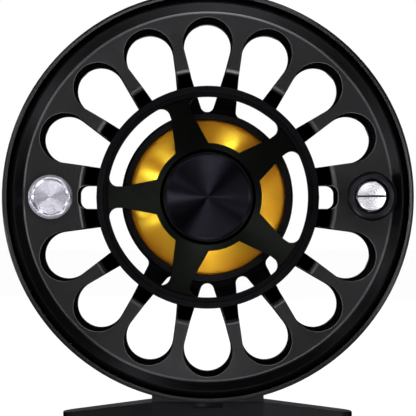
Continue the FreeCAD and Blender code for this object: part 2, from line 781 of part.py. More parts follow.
def star_window(angle_from, angle_to):
    """The see-through window between two arms, as a cutter."""
    y_from = star_front_inner_y - overrun
    y_to = star_rear_y + overrun
    arm_slope = (star_arm_inner_width - star_arm_outer_width) / 2 / (star_arm_taper_end_r - star_hub_r)
    outer_half = star_arm_inner_width / 2 - (star_rim_inner_r - star_hub_r) * arm_slope
    outer_half = max(outer_half, star_arm_outer_width / 2)
    annulus = ring(star_rim_inner_r, star_hub_r, y_from, y_to)
    far = 2 * star_rim_inner_r
    sides = []
    for angle, side in ((angle_from, 1), (angle_to, -1)):
        turn = math.radians(angle)
        along = Vector(math.cos(turn), 0, math.sin(turn))
        across = Vector(-math.sin(turn), 0, math.cos(turn)) * side
        line = []
        for radius, half in ((0.0, star_arm_inner_width / 2 + star_hub_r * arm_slope),
                             (star_arm_taper_end_r, star_arm_outer_width / 2),
                             (far, star_arm_outer_width / 2)):
            point = along * radius + across * half
            line.append((point.x, point.z))
        sides.append(line)
    middle = math.radians((angle_from + angle_to) / 2)
    tip = (far * math.cos(middle) * 2, far * math.sin(middle) * 2)
    outline = sides[0] + [tip] + list(reversed(sides[1]))
    cutter = annulus.common(prism(outline, y_from, y_to))
    corners = []
    for edge in cutter.Edges:
        ends = [vertex.Point for vertex in edge.Vertexes]
        if len(ends) != 2 or abs(ends[0].y - ends[1].y) < tiny:
            continue
        if abs(math.hypot(ends[0].x, ends[0].z) - star_rim_inner_r) < tiny:
            corners.append(edge)
    return cutter.makeFillet(star_corner_round, corners)


def spool_star():
    """Five-armed web with its outer ring, the hub and the bores for the bearings and the clutch."""
    web = ring(arbor_seat_r, star_hub_nose_r, cone_foot_y, star_rear_y)
    web = web.fuse(turned([(star_hub_nose_r, star_front_inner_y), (star_rim_inner_r, star_front_outer_y),
                           (star_rim_inner_r, star_rear_y), (star_hub_nose_r, star_rear_y)]))
    hub = turned([(cap_recess_r, star_hub_front_y), (star_hub_nose_r, star_hub_front_y),
                  (star_hub_r, star_hub_cone_y), (star_hub_r, star_rear_y),
                  (star_hub_rear_r, star_rear_y), (star_hub_rear_r, star_hub_rear_y),
                  (clutch_r, star_hub_rear_y), (clutch_r, clutch_front_y),
                  (bearing_stop_r, clutch_front_y), (bearing_stop_r, bearing_stop_y),
                  (bearing_r, bearing_stop_y), (bearing_r, bearing_front_y),
                  (cap_recess_r, bearing_front_y)])
    solid = web.fuse(hub).removeSplitter()
    pitch = star_arm_angles[1] - star_arm_angles[0]
    for angle in star_arm_angles:
        solid = solid.cut(star_window(angle, angle + pitch))
    return solid.cut(pawl_pin()).cut(pawl_spring_post())


def spool_cap():
    """Bare turned cap with a shallow conical dish, spigoted into the hub."""
    solid = turned([(0, cap_front_y + cap_dish_depth), (cap_dish_r, cap_front_y),
                    (cap_r, cap_front_y), (cap_r, star_hub_front_y),
                    (cap_spigot_r, star_hub_front_y), (cap_spigot_r, cap_spigot_rear_y),
                    (cap_hollow_r, cap_spigot_rear_y), (cap_hollow_r, cap_front_y + cap_wall),
                    (0, cap_front_y + cap_wall)])
    return round_rim(solid, cap_r, cap_front_y, cap_edge_round).cut(oring_wire())


def oring_wire():
    """The round wire of the cap's rubber ring."""
    return Part.makeTorus(cap_spigot_r, oring_wire_r, Vector(0, cap_groove_y, 0), spool_axis)


def cap_oring():
    """Rubber ring in the cap's spigot groove, squeezed against the hub."""
    return oring_wire().common(disc(cap_recess_r, star_hub_front_y, bearing_front_y))


# ================= spindle, bearings, clutch =================
def spindle():
    """Fixed steel spindle with a clip groove in front and a journal for the drag knob behind."""
    solid = turned([(0, spindle_front_y), (spindle_r, spindle_front_y), (spindle_r, spindle_clip_y),
                    (spindle_clip_groove_r, spindle_clip_y), (spindle_clip_groove_r, bearing_front_y),
                    (spindle_r, bearing_front_y), (spindle_r, spindle_shoulder_y),
                    (spindle_shoulder_r, spindle_shoulder_y),
                    (spindle_shoulder_r, hub_wall_front_y), (spindle_r, hub_wall_front_y),
                    (spindle_r, spindle_nut_rear_y), (spindle_tail_r, spindle_nut_rear_y),
                    (spindle_tail_r, spindle_tail_y), (0, spindle_tail_y)])
    hole = disc(knob_screw_shank_r, spindle_tail_y - knob_screw_length, spindle_tail_y + overrun)
    return solid.cut(hole)


def spindle_clip():
    """Open retaining clip in front of the front bearing."""
    solid = ring(spindle_clip_r, spindle_clip_groove_r, spindle_clip_y, bearing_front_y)
    mouth = spindle_clip_groove_r * 2 / 3
    slot = prism([(-mouth, 0), (mouth, 0), (mouth, spindle_clip_r + overrun),
                  (-mouth, spindle_clip_r + overrun)], spindle_clip_y - overrun, bearing_front_y + overrun)
    return solid.cut(slot)


def spindle_nut():
    """Hexagon nut that clamps the spindle in the back plate."""
    solid = hexagon(spindle_nut_flats, plate_rear_y, spindle_nut_rear_y)
    return solid.cut(disc(spindle_r, plate_rear_y - overrun, spindle_nut_rear_y + overrun))


def bearing_positions():
    """Front faces of the two bearings."""
    return (bearing_front_y, bearing_front_y + bearing_spacing)


def ball_circle_r():
    """Radius of the circle through the balls' centres."""
    return (bearing_r + spindle_r) / 2


def ball_track(y):
    """The torus that the balls roll in, slightly larger than the balls."""
    track_r = bearing_ball_r + bearing_ball_play
    return Part.makeTorus(ball_circle_r(), track_r, Vector(0, y + bearing_width / 2, 0), spool_axis)


def bearing_outer_races():
    """Outer races of the two bearings."""
    solids = []
    for y in bearing_positions():
        race = ring(bearing_r, bearing_r - bearing_race, y, y + bearing_width)
        solids.append(race.cut(ball_track(y)))
    return solids


def bearing_inner_races():
    """Inner races of the two bearings, on the spindle."""
    solids = []
    for y in bearing_positions():
        race = ring(spindle_r + bearing_race, spindle_r, y, y + bearing_width)
        solids.append(race.cut(ball_track(y)))
    return solids


def bearing_ball_set():
    """The balls of both bearings."""
    solids = []
    for y in bearing_positions():
        ball = Part.makeSphere(bearing_ball_r, Vector(0, y + bearing_width / 2, 0))
        solids += spread(ball, bearing_balls, ball_circle_r())
    return solids


def bearing_spacer():
    """Thin ring that keeps the two outer races apart."""
    front = bearing_front_y + bearing_width
    return ring(bearing_r, bearing_r - bearing_race, front, bearing_front_y + bearing_spacing)


def clutch_shell():
    """Drawn shell of the one-way roller clutch, pressed in the spool hub."""
    return turned([(clutch_r, clutch_front_y), (clutch_r, clutch_rear_y), (clutch_lip_r, clutch_rear_y),
                   (clutch_lip_r, clutch_rear_y - clutch_wall),
                   (clutch_track_r, clutch_rear_y - clutch_wall),
                   (clutch_track_r, clutch_front_y + clutch_wall),
                   (clutch_lip_r, clutch_front_y + clutch_wall), (clutch_lip_r, clutch_front_y)])


def clutch_roller_set():
    """Needle rollers between the shell and the drag rotor's sleeve."""
    circle_r = (clutch_track_r + rotor_r) / 2
    roller = disc(clutch_roller_r, clutch_front_y + clutch_wall + seat_gap,
                  clutch_rear_y - clutch_wall - seat_gap)
    return spread(roller, clutch_rollers, circle_r)


# ================= drag =================
def drag_housing():
    """Housing with a conical front face, a seal pocket and a grooved washer chamber."""
    solid = turned([(housing_r, housing_rear_y), (housing_r, housing_shoulder_y),
                    (housing_nose_r, housing_nose_y), (housing_recess_r, housing_nose_y),
                    (housing_recess_r, housing_recess_y), (seal_r, housing_recess_y),
                    (seal_r, housing_recess_y + seal_depth), (clutch_lip_r, housing_recess_y + seal_depth),
                    (clutch_lip_r, housing_wall_y), (housing_bore_r, housing_wall_y),
                    (housing_bore_r, housing_rear_y)])
    solid = round_rim(solid, housing_r, housing_shoulder_y, housing_edge_round)
    half = housing_groove_width / 2
    groove = prism([(0, -half), (housing_groove_r, -half), (housing_groove_r, half), (0, half)],
                   housing_wall_y, housing_rear_y + overrun)
    groove = groove.cut(disc(pressure_plate_hole_r, housing_wall_y - overrun, housing_rear_y + 2 * overrun))
    solid = solid.cut(groove).cut(swung(groove, 180.0))
    for screw_solid in housing_screw_set():
        solid = solid.cut(screw_solid)
    return solid


def housing_screw_set():
    """Screws from the rear of the back plate into the drag housing's wall."""
    one = screw(housing_screw_head_r, housing_screw_head_height, housing_screw_shank_r,
                housing_screw_length, plate_rear_y, 1)
    return spread(one, housing_screws, housing_screw_circle_r, 180.0 / housing_screws)


def housing_seal():
    """Ring seal around the rotor sleeve."""
    return ring(seal_r, seal_lip_r, housing_recess_y, housing_recess_y + seal_depth)


def drag_rotor():
    """Sleeve inside the clutch, with a hexagon that drives the carbon washers."""
    solid = disc(rotor_r, rotor_front_y, stack_front_y)
    solid = solid.fuse(hexagon(rotor_flats, stack_front_y, rotor_rear_y)).removeSplitter()
    return solid.cut(disc(rotor_bore_r, rotor_front_y - overrun, rotor_rear_y + overrun))


def rotor_bush():
    """Plain bush between the rotor and the spindle."""
    return ring(rotor_bore_r, bush_bore_r, rotor_front_y, rotor_rear_y)


def steel_washers():
    """Steel washers, each with two ears in the housing's grooves."""
    solids = []
    half = steel_washer_ear_width / 2
    for index in range(carbon_washers + 1):
        front = stack_front_y + index * washer_pitch
        rear = front + steel_washer_thickness
        ears = prism([(-steel_washer_ear_r, -half), (steel_washer_ear_r, -half),
                      (steel_washer_ear_r, half), (-steel_washer_ear_r, half)], front, rear)
        washer = disc(steel_washer_r, front, rear).fuse(ears).removeSplitter()
        solids.append(washer.cut(disc(steel_washer_hole_r, front - overrun, rear + overrun)))
    return solids


def carbon_washer_set():
    """Carbon washers with hexagon holes, turning with the rotor."""
    solids = []
    for index in range(carbon_washers):
        front = stack_front_y + steel_washer_thickness + washer_gap + index * washer_pitch
        rear = front + carbon_washer_thickness
        washer = disc(carbon_washer_r, front, rear)
        solids.append(washer.cut(hexagon(carbon_washer_flats, front - overrun, rear + overrun)))
    return solids


def belleville_springs():
    """Two dished spring washers, back to back."""
    front = belleville_front_y
    first = turned([(belleville_hole_r, front + belleville_rise), (belleville_r, front),
                    (belleville_r, front + belleville_thickness),
                    (belleville_hole_r, front + belleville_rise + belleville_thickness)])
    middle = belleville_middle_y
    second = turned([(belleville_hole_r, middle), (belleville_r, middle + belleville_rise),
                     (belleville_r, middle + belleville_rise + belleville_thickness),
                     (belleville_hole_r, middle + belleville_thickness)])
    return [first, second]


def pressure_plate():
    """Plate that squeezes the stack when the thrust pins push it forward."""
    return ring(pressure_plate_r, pressure_plate_hole_r, plate_front_face_y, plate_rear_face_y)


def thrust_pin_set():
    """Pins through the back plate, between the cam ring and the pressure plate."""
    pin = disc(thrust_pin_r, plate_rear_face_y, thrust_pin_rear_y)
    return spread(pin, thrust_pins, thrust_pin_circle_r, 90.0)


# ================= click work =================
def click_ring():
    """Toothed ring on the nose of the drag housing."""
    outline = []
    for tooth in range(click_teeth):
        for share, radius in ((-click_root_share, click_ring_root_r), (-click_tip_share, click_ring_tip_r),
                              (click_tip_share, click_ring_tip_r), (click_root_share, click_ring_root_r)):
            turn = 2 * math.pi * (tooth + share) / click_teeth
            outline.append((radius * math.cos(turn), radius * math.sin(turn)))
    solid = prism(outline, click_ring_front_y, housing_nose_y)
    return solid.cut(disc(housing_recess_r, click_ring_front_y - overrun, housing_nose_y + overrun))


def click_pawl():
    """Small lever behind one arm of the star; its tip meets the click ring."""
    outline = [(pawl_tip_r, -pawl_tip_half_width), (pawl_pivot_r, -pawl_eye_r),
               (pawl_tail_r, -pawl_tail_half_width), (pawl_tail_r, pawl_tail_half_width),
               (pawl_pivot_r, pawl_eye_r), (pawl_tip_r, pawl_tip_half_width)]
    lever = prism(outline, pawl_front_y, pawl_rear_y)
    eye = outward(disc(pawl_eye_r, pawl_front_y, pawl_rear_y), pawl_pivot_r)
    bore = outward(disc(pawl_pin_r + pawl_pin_clearance, pawl_front_y - overrun, pawl_rear_y + overrun),
                   pawl_pivot_r)
    return swung(lever.fuse(eye).removeSplitter().cut(bore), pawl_angle)


def pawl_pin():
    """Pivot pin pressed into the back of the star."""
    pin_front_y = (star_front_outer_y + star_rear_y) / 2
    return outward(disc(pawl_pin_r, pin_front_y, pawl_rear_y), pawl_pivot_r, pawl_angle)


def pawl_spring_post():
    """Square post that holds the pawl's leaf spring."""
    half = pawl_spring_post_size / 2
    post_front_y = (star_front_outer_y + star_rear_y) / 2
    outline = [(pawl_spring_post_r - half, -half), (pawl_spring_post_r + half, -half),
               (pawl_spring_post_r + half, half), (pawl_spring_post_r - half, half)]
    return swung(prism(outline, post_front_y, pawl_rear_y), pawl_angle)


def pawl_spring():
    """Leaf spring from the post to the pawl's tail."""
    half = pawl_spring_thickness / 2
    outline = [(pawl_spring_front_r, -half), (pawl_spring_rear_r, -half),
               (pawl_spring_rear_r, half), (pawl_spring_front_r, half)]
    return swung(prism(outline, pawl_front_y, pawl_rear_y), pawl_angle)


# ================= drag knob =================
def drag_knob():
    """Scalloped knob with a dished rear face, turning on the spindle's tail."""
    solid = turned([(knob_bore_r, knob_nut_recess_y), (knob_nut_recess_r, knob_nut_recess_y),
                    (knob_nut_recess_r, knob_front_y), (knob_r, knob_front_y), (knob_r, knob_rear_y),
                    (knob_dish_r, knob_rear_y), (knob_dish_r, knob_dish_y), (knob_bore_r, knob_dish_y)])
    solid = round_rim(solid, knob_r, knob_rear_y, knob_edge_round)
    flute = disc(knob_scallop_r, knob_front_y - overrun, knob_rear_y + overrun)
    for cutter in spread(flute, knob_scallops, knob_r + knob_scallop_r - knob_scallop_depth):
        solid = solid.cut(cutter)
    solid = solid.cut(ring(cam_ring_r, cam_ring_bore_r, knob_front_y - overrun, cam_ring_rear_y))
    pocket = disc(detent_pocket_r, knob_front_y - overrun, knob_front_y + detent_pocket_depth)
    return solid.cut(outward(pocket, detent_circle_r, detent_angle))


def cam_ring():
    """Hard ring in the knob that the thrust pins bear on."""
    return ring(cam_ring_r, cam_ring_bore_r, cam_ring_front_y, cam_ring_rear_y)


def knob_washer():
    """Washer between the drag knob and its screw."""
    return ring(knob_washer_r, spindle_tail_r, knob_washer_y, spindle_tail_y)


def knob_screw():
    """Slotted screw in the spindle's rear end."""
    head_top = spindle_tail_y + knob_screw_head_height
    return screw(knob_screw_head_r, knob_screw_head_height, knob_screw_shank_r, knob_screw_length,
                 head_top, 1, knob_screw_slot, knob_screw_head_height / 2)


def detent_ball():
    """Ball that clicks the drag knob over the back plate."""
    ball = Part.makeSphere(detent_ball_r, Vector(0, plate_rear_y + seat_gap + detent_ball_r, 0))
    return outward(ball, detent_circle_r, detent_angle)


def detent_spring():
    """Coil spring behind the detent ball."""
    front = plate_rear_y + seat_gap + 2 * detent_ball_r + detent_wire_r
    height = knob_front_y + detent_pocket_depth - detent_wire_r - front
    helix = Part.makeHelix(height / detent_coils, height, detent_coil_r)
    section = Part.Wire(Part.makeCircle(detent_wire_r, Vector(detent_coil_r, 0, 0), Vector(0, 1, 0)))
    coil = Part.Wire(helix.Edges).makePipeShell([section], True, True)
    coil.rotate(centre, Vector(1, 0, 0), -90)
    coil.translate(Vector(0, front, 0))
    return outward(positive(coil), detent_circle_r, detent_angle)


# ================= counterweight and handle =================
def counterweight():
    """Turned counterweight on the flange, opposite the handle."""
    solid = turned([(0, counterweight_front_y + counterweight_dish_depth),
                    (counterweight_dish_r, counterweight_front_y + counterweight_dish_depth),
                    (counterweight_dish_r + counterweight_dish_depth, counterweight_front_y),
                    (counterweight_r, counterweight_front_y), (counterweight_r, flange_face_y),
                    (0, flange_face_y)])
    solid = round_rim(solid, counterweight_r, counterweight_front_y, counterweight_edge_chamfer,
                      chamfer=True)
    solid = outward(solid, crank_r, 180.0)
    return solid.cut(counterweight_screw())


def counterweight_screw():
    """Screw from the line side of the flange into the counterweight."""
    head_rear = flange_rear_y + counterweight_screw_head_height
    one = screw(counterweight_screw_head_r, counterweight_screw_head_height, counterweight_screw_r,
                counterweight_screw_length, head_rear, 1)
    return outward(one, crank_r, 180.0)


def handle_post():
    """Steel post riveted through the flange, carrying the handle."""
    solid = turned([(0, post_front_y), (post_r, post_front_y), (post_r, post_base_y),
                    (post_base_r, post_base_y), (post_base_r, flange_face_y),
                    (post_rivet_r, flange_face_y), (post_rivet_r, flange_rear_y), (0, flange_rear_y)])
    hole = disc(handle_screw_shank_r, post_front_y - overrun, handle_recess_y + handle_screw_length)
    return outward(solid.cut(hole), crank_r)


def handle_knob():
    """Turned handle: waisted near the flange, flared at the end, with a rounded lip."""
    solid = turned([(knob_bush_bore_r, handle_base_y), (handle_base_r, handle_base_y),
                    (handle_waist_r, handle_waist_y), (handle_flare_r, handle_flare_y),
                    (handle_end_r, handle_end_y), (handle_recess_r, handle_end_y),
                    (handle_recess_r, handle_recess_y), (knob_bush_bore_r, handle_recess_y)])
    solid = round_rim(solid, handle_end_r, handle_end_y, handle_lip_round)
    solid = round_rim(solid, handle_recess_r, handle_end_y, handle_lip_round / 2)
    solid = outward(solid, crank_r)
    for bush in handle_bushes():
        solid = solid.cut(bush)
    return solid


def handle_bushes():
    """Plain bushes at both ends of the handle's bore."""
    near = ring(knob_bush_r, knob_bush_bore_r, handle_base_y - knob_bush_length, handle_base_y)
    far = ring(knob_bush_r, knob_bush_bore_r, handle_recess_y, handle_recess_y + knob_bush_length)
    return [outward(near, crank_r), outward(far, crank_r)]


def handle_washer():
    """Thin washer under the handle screw's head."""
    rear = handle_recess_y - handle_washer_gap
    front = rear - handle_washer_thickness
    return outward(ring(handle_washer_r, handle_screw_shank_r, front, rear), crank_r)


def handle_screw():
    """Slotted screw that keeps the handle on its post."""
    head_rear = handle_recess_y - handle_washer_gap - handle_washer_thickness
    head_front = head_rear - handle_screw_head_height
    one = screw(handle_screw_head_r, handle_screw_head_height, handle_screw_shank_r,
                handle_screw_length, head_front, -1, handle_screw_slot, handle_screw_slot_depth)
    return outward(one, crank_r)


def cut_by(shape, tools):
    """Cut a solid by each of the given pieces."""
    for tool in tools:
        shape = shape.cut(tool)
    return shape


PIECES = {
    "frame_cage": frame_cage,
    "frame_back_plate": frame_back_plate,
    "frame_screws": frame_screw_set,
    "reel_foot": reel_foot,
    "foot_screws": foot_screw_set,
    "spindle": spindle,
    "spindle_clip": spindle_clip,
    "spindle_nut": spindle_nut,
    "bearing_inner_races": bearing_inner_races,
    "drag_housing": drag_housing,
    "housing_screws": housing_screw_set,
    "housing_seal": housing_seal,
    "steel_washers": steel_washers,
    "click_ring": click_ring,
    "knob_washer": knob_washer,
    "knob_screw": knob_screw,
    "spool_front_flange": lambda: cut_by(spool_front_flange(), [counterweight_screw(), handle_post()]),
    "spool_arbor": spool_arbor,
    "spool_back_flange": spool_back_flange,
    "spool_star": spool_star,
    "spool_cap": spool_cap,
    "cap_oring": cap_oring,
    "bearing_outer_races": bearing_outer_races,
    "bearing_balls": bearing_ball_set,
    "bearing_spacer": bearing_spacer,
    "clutch_shell": clutch_shell,
    "clutch_rollers": clutch_roller_set,
    "pawl_pin": pawl_pin,
    "pawl_spring_post": pawl_spring_post,
    "pawl_spring": pawl_spring,
    "counterweight": counterweight,
    "counterweight_screw": counterweight_screw,
    "handle_post": handle_post,
    "handle_washer": handle_washer,
    "handle_screw": handle_screw,
    "click_pawl": click_pawl,
    "handle_knob": handle_knob,
    "handle_bushes": handle_bushes,
    "drag_rotor": drag_rotor,
    "rotor_bush": rotor_bush,
    "carbon_washers": carbon_washer_set,
    "pressure_plate": pressure_plate,
    "belleville_springs": belleville_springs,
    "thrust_pins": thrust_pin_set,
    "drag_knob": drag_knob,
    "knob_cam_ring": cam_ring,
    "detent_ball": detent_ball,
    "detent_spring": detent_spring,
}

os.makedirs("parts", exist_ok=True)
for node, build in PIECES.items():
    made = build()
    piece = Part.makeCompound(made) if isinstance(made, list) else made
    piece.translate(Vector(0, 0, axis_height))
    piece.exportStep("parts/" + node + ".step")
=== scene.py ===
import logging
import math
from dataclasses import dataclass
from enum import Enum
from typing import Optional, Sequence

import bmesh
import bpy
from mathutils import Matrix, Vector


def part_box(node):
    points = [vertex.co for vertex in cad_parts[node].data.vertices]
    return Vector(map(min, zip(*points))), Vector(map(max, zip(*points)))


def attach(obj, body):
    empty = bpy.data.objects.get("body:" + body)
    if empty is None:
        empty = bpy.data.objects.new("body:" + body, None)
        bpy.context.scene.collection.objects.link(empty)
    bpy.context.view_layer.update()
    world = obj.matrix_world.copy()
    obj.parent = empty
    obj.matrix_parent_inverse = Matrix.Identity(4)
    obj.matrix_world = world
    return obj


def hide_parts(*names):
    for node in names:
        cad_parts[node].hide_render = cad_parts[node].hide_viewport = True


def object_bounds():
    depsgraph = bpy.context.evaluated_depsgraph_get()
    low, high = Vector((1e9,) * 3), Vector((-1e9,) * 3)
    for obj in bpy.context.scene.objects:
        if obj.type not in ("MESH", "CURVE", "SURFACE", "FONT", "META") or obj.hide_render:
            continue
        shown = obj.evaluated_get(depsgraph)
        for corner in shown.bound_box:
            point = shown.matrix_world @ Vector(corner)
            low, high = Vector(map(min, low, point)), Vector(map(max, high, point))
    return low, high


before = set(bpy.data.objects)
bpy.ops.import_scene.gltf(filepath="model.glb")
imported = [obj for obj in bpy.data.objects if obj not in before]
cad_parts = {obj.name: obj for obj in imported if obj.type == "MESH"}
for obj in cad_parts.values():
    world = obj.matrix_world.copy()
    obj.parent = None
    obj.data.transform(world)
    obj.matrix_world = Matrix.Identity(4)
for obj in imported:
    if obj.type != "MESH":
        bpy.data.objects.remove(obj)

# Looks of the fly reel. Lengths are in metres, +Y runs along the spool axis towards the drag
# knob, the handle faces -Y, and +Z points up from the foot to the spool.

MM = 0.001
CAD_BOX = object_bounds()
# Height of the floor lamps above the floor.
FLOOR_GAP = 3.0 * MM
# How far behind the spool's crest the camera aims.
AIM_SETBACK = 0.35 * MM
# A corner that is closer to the axis than this lies on it.
ON_AXIS = 0.001 * MM
# Power of one square metre of lamp at level 1.
WATTS_PER_LEVEL = 4.0
# Detail of the finest patterns.
FINE_DETAIL = 3.0
# Share of a turn that lays the highlights across the grooves.
GROOVE_TURN = 0.25

Node = bpy.types.Node
Socket = bpy.types.NodeSocket
Piece = bpy.types.Object
Point = tuple[float, float]
Colour = tuple[float, float, float]
WHITE = (1.0, 1.0, 1.0)

log = logging.getLogger("fly_reel")


# ================= places =================
@dataclass(frozen=True)
class Axis:
    """A line along Y about which a piece is turned."""

    x: float
    z: float

    @staticmethod
    def of(node: str) -> "Axis":
        """Find the middle of a node across the spool axis.

        Args:
            node: name of a node that is round about the wanted line.

        Returns:
            The axis through the node's middle.
        """
        low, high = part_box(node)
        return Axis((low.x + high.x) / 2, (low.z + high.z) / 2)


# ================= wiring =================
class Sketch:
    """Lays out and wires the nodes of one material, or of the surround."""

    def __init__(self, owner: bpy.types.ID) -> None:
        """Start with no nodes.

        Args:
            owner: the new material or world.
        """
        owner.use_nodes = True
        self.owner = owner
        self.tree = owner.node_tree
        self.tree.nodes.clear()

    def add(self, kind: str, inputs: Optional[dict] = None, **settings: object) -> Node:
        """Add a node, set its plain properties and feed its inputs.

        Args:
            kind: the node's type name, without the ShaderNode part.
            inputs: a socket or a plain value for each input, by the input's name or number.
            settings: properties to set on the node.

        Returns:
            The new node.
        """
        node = self.tree.nodes.new("ShaderNode" + kind)
        for key, value in settings.items():
            setattr(node, key, value)
        for key, value in (inputs or {}).items():
            if isinstance(value, Socket):
                self.tree.links.new(value, node.inputs[key])
            else:
                node.inputs[key].default_value = value
        return node

    def maths(self, operation: str, *values: object, clamp: bool = False) -> Socket:
        """Add a Math node.

        Args:
            operation: the sum to do.
            values: sockets or numbers.
            clamp: whether the result stays between 0 and 1.

        Returns:
            The result's socket.
        """
        return self.add("Math", dict(enumerate(values)), operation=operation, use_clamp=clamp).outputs[0]

    def vector(self, operation: str, first: object, second: object) -> Node:
        """Add a Vector Math node.

        Args:
            operation: the sum to do.
            first: a socket or a vector.
            second: a socket or a vector.

        Returns:
            The new node.
        """
        return self.add("VectorMath", {0: first, 1: second}, operation=operation)

    def spread(self, value: object, low: float, high: float, start: float = 0.0,
               end: float = 1.0) -> Socket:
        """Stretch a value from one range over another.

        Args:
            value: the socket to stretch.
            low: result at the start.
            high: result at the end.
            start: the value that gives low.
            end: the value that gives high.

        Returns:
            The stretched value's socket.
        """
        ranges = {"Value": value, "From Min": start, "From Max": end, "To Min": low, "To Max": high}
        return self.add("MapRange", ranges).outputs[0]

    def blend(self, share: object, first: object, second: object) -> Socket:
        """Mix two colours.

        Args:
            share: how much of the second colour shows.
            first: a colour or a socket.
            second: a colour or a socket.

        Returns:
            The mixed colour's socket.
        """
        return self.add("Mix", {0: share, 6: first, 7: second}, data_type="RGBA").outputs[2]

    def mix(self, share: object, first: Node, second: Node) -> Node:
        """Mix two shaders.

        Args:
            share: how much of the second shader shows.
            first: a shader's node.
            second: a shader's node.

        Returns:
            The node of the mixed shader.
        """
        return self.add("MixShader", {0: share, 1: first.outputs[0], 2: second.outputs[0]})

    def place(self, axis: Axis) -> Socket:
        """Give the surface point measured from an axis.

        Args:
            axis: the line to measure from.

        Returns:
            A socket with the point, in metres.
        """
        point = self.add("TexCoord").outputs["Object"]
        return self.vector("SUBTRACT", point, (axis.x, 0.0, axis.z)).outputs[0]

    def noise(self, point: Socket, scale: float, detail: float = 2.0) -> Socket:
        """Add a soft random pattern in space.

        Args:
            point: where the pattern is read.
            scale: spots per metre.
            detail: how much fine variation is added.

        Returns:
            The pattern's value, from 0 to 1.
        """
        return self.add("TexNoise", {"Vector": point, "Scale": scale, "Detail": detail}).outputs[0]

    def depth(self, point: Socket) -> Socket:
        """Give a point's place along Y.

        Args:
            point: the point to measure.

        Returns:
            The place's socket.
        """
        return self.add("SeparateXYZ", {0: point}).outputs["Y"]

    def radius(self, point: Socket) -> Socket:
        """Measure how far a point lies from the axis.

        Args:
            point: the surface point measured from the axis.

        Returns:
            The distance's socket, in metres.
        """
        flat = self.vector("MULTIPLY", point, (1.0, 0.0, 1.0)).outputs[0]
        return self.vector("LENGTH", flat, (0.0, 0.0, 0.0)).outputs["Value"]

    def rings(self, point: Socket, pitch: float) -> Socket:
        """Add fine uneven rings about the axis, as a lathe leaves.

        Args:
            point: the surface point measured from the axis.
            pitch: distance between rings in metres.

        Returns:
            The pattern's value, from 0 to 1.
        """
        along = self.maths("ADD", self.radius(point), self.depth(point))
        inputs = {"W": along, "Scale": 1.0 / pitch, "Detail": FINE_DETAIL}
        return self.add("TexNoise", inputs, noise_dimensions="1D").outputs[0]

    def edge_wear(self, radius: float, amount: float) -> tuple[Socket, Socket]:
        """Soften sharp edges and find where they are.

        Args:
            radius: size of the softened edge in metres.
            amount: how strongly the edge is marked.

        Returns:
            The softened normal's socket and the edge mask's socket.
        """
        softened = self.add("Bevel", {"Radius": radius}, samples=4).outputs[0]
        normal = self.add("NewGeometry").outputs["Normal"]
        match = self.vector("DOT_PRODUCT", softened, normal).outputs["Value"]
        gap = self.maths("SUBTRACT", 1.0, match, clamp=True)
        return softened, self.maths("MULTIPLY", gap, amount, clamp=True)

    def finish(self, shader: Node, output: str = "OutputMaterial") -> bpy.types.ID:
        """Wire the shader to the surface.

        Args:
            shader: the shader's node.
            output: the kind of output node.

        Returns:
            The finished material or world.
        """
        self.add(output, {"Surface": shader.outputs[0]})
        return self.owner


# ================= finishes =================
class Grain(Enum):
    """How a surface was worked, which sets the fine lines in it."""

    TURNED = "rings about the piece's own axis"
    BLASTED = "an even fine satin"


def opaque(colour: Colour, share: float = 1.0) -> tuple[float, float, float, float]:
    """Give a colour its alpha, lightened or darkened by a share."""
    return (colour[0] * share, colour[1] * share, colour[2] * share, 1.0)


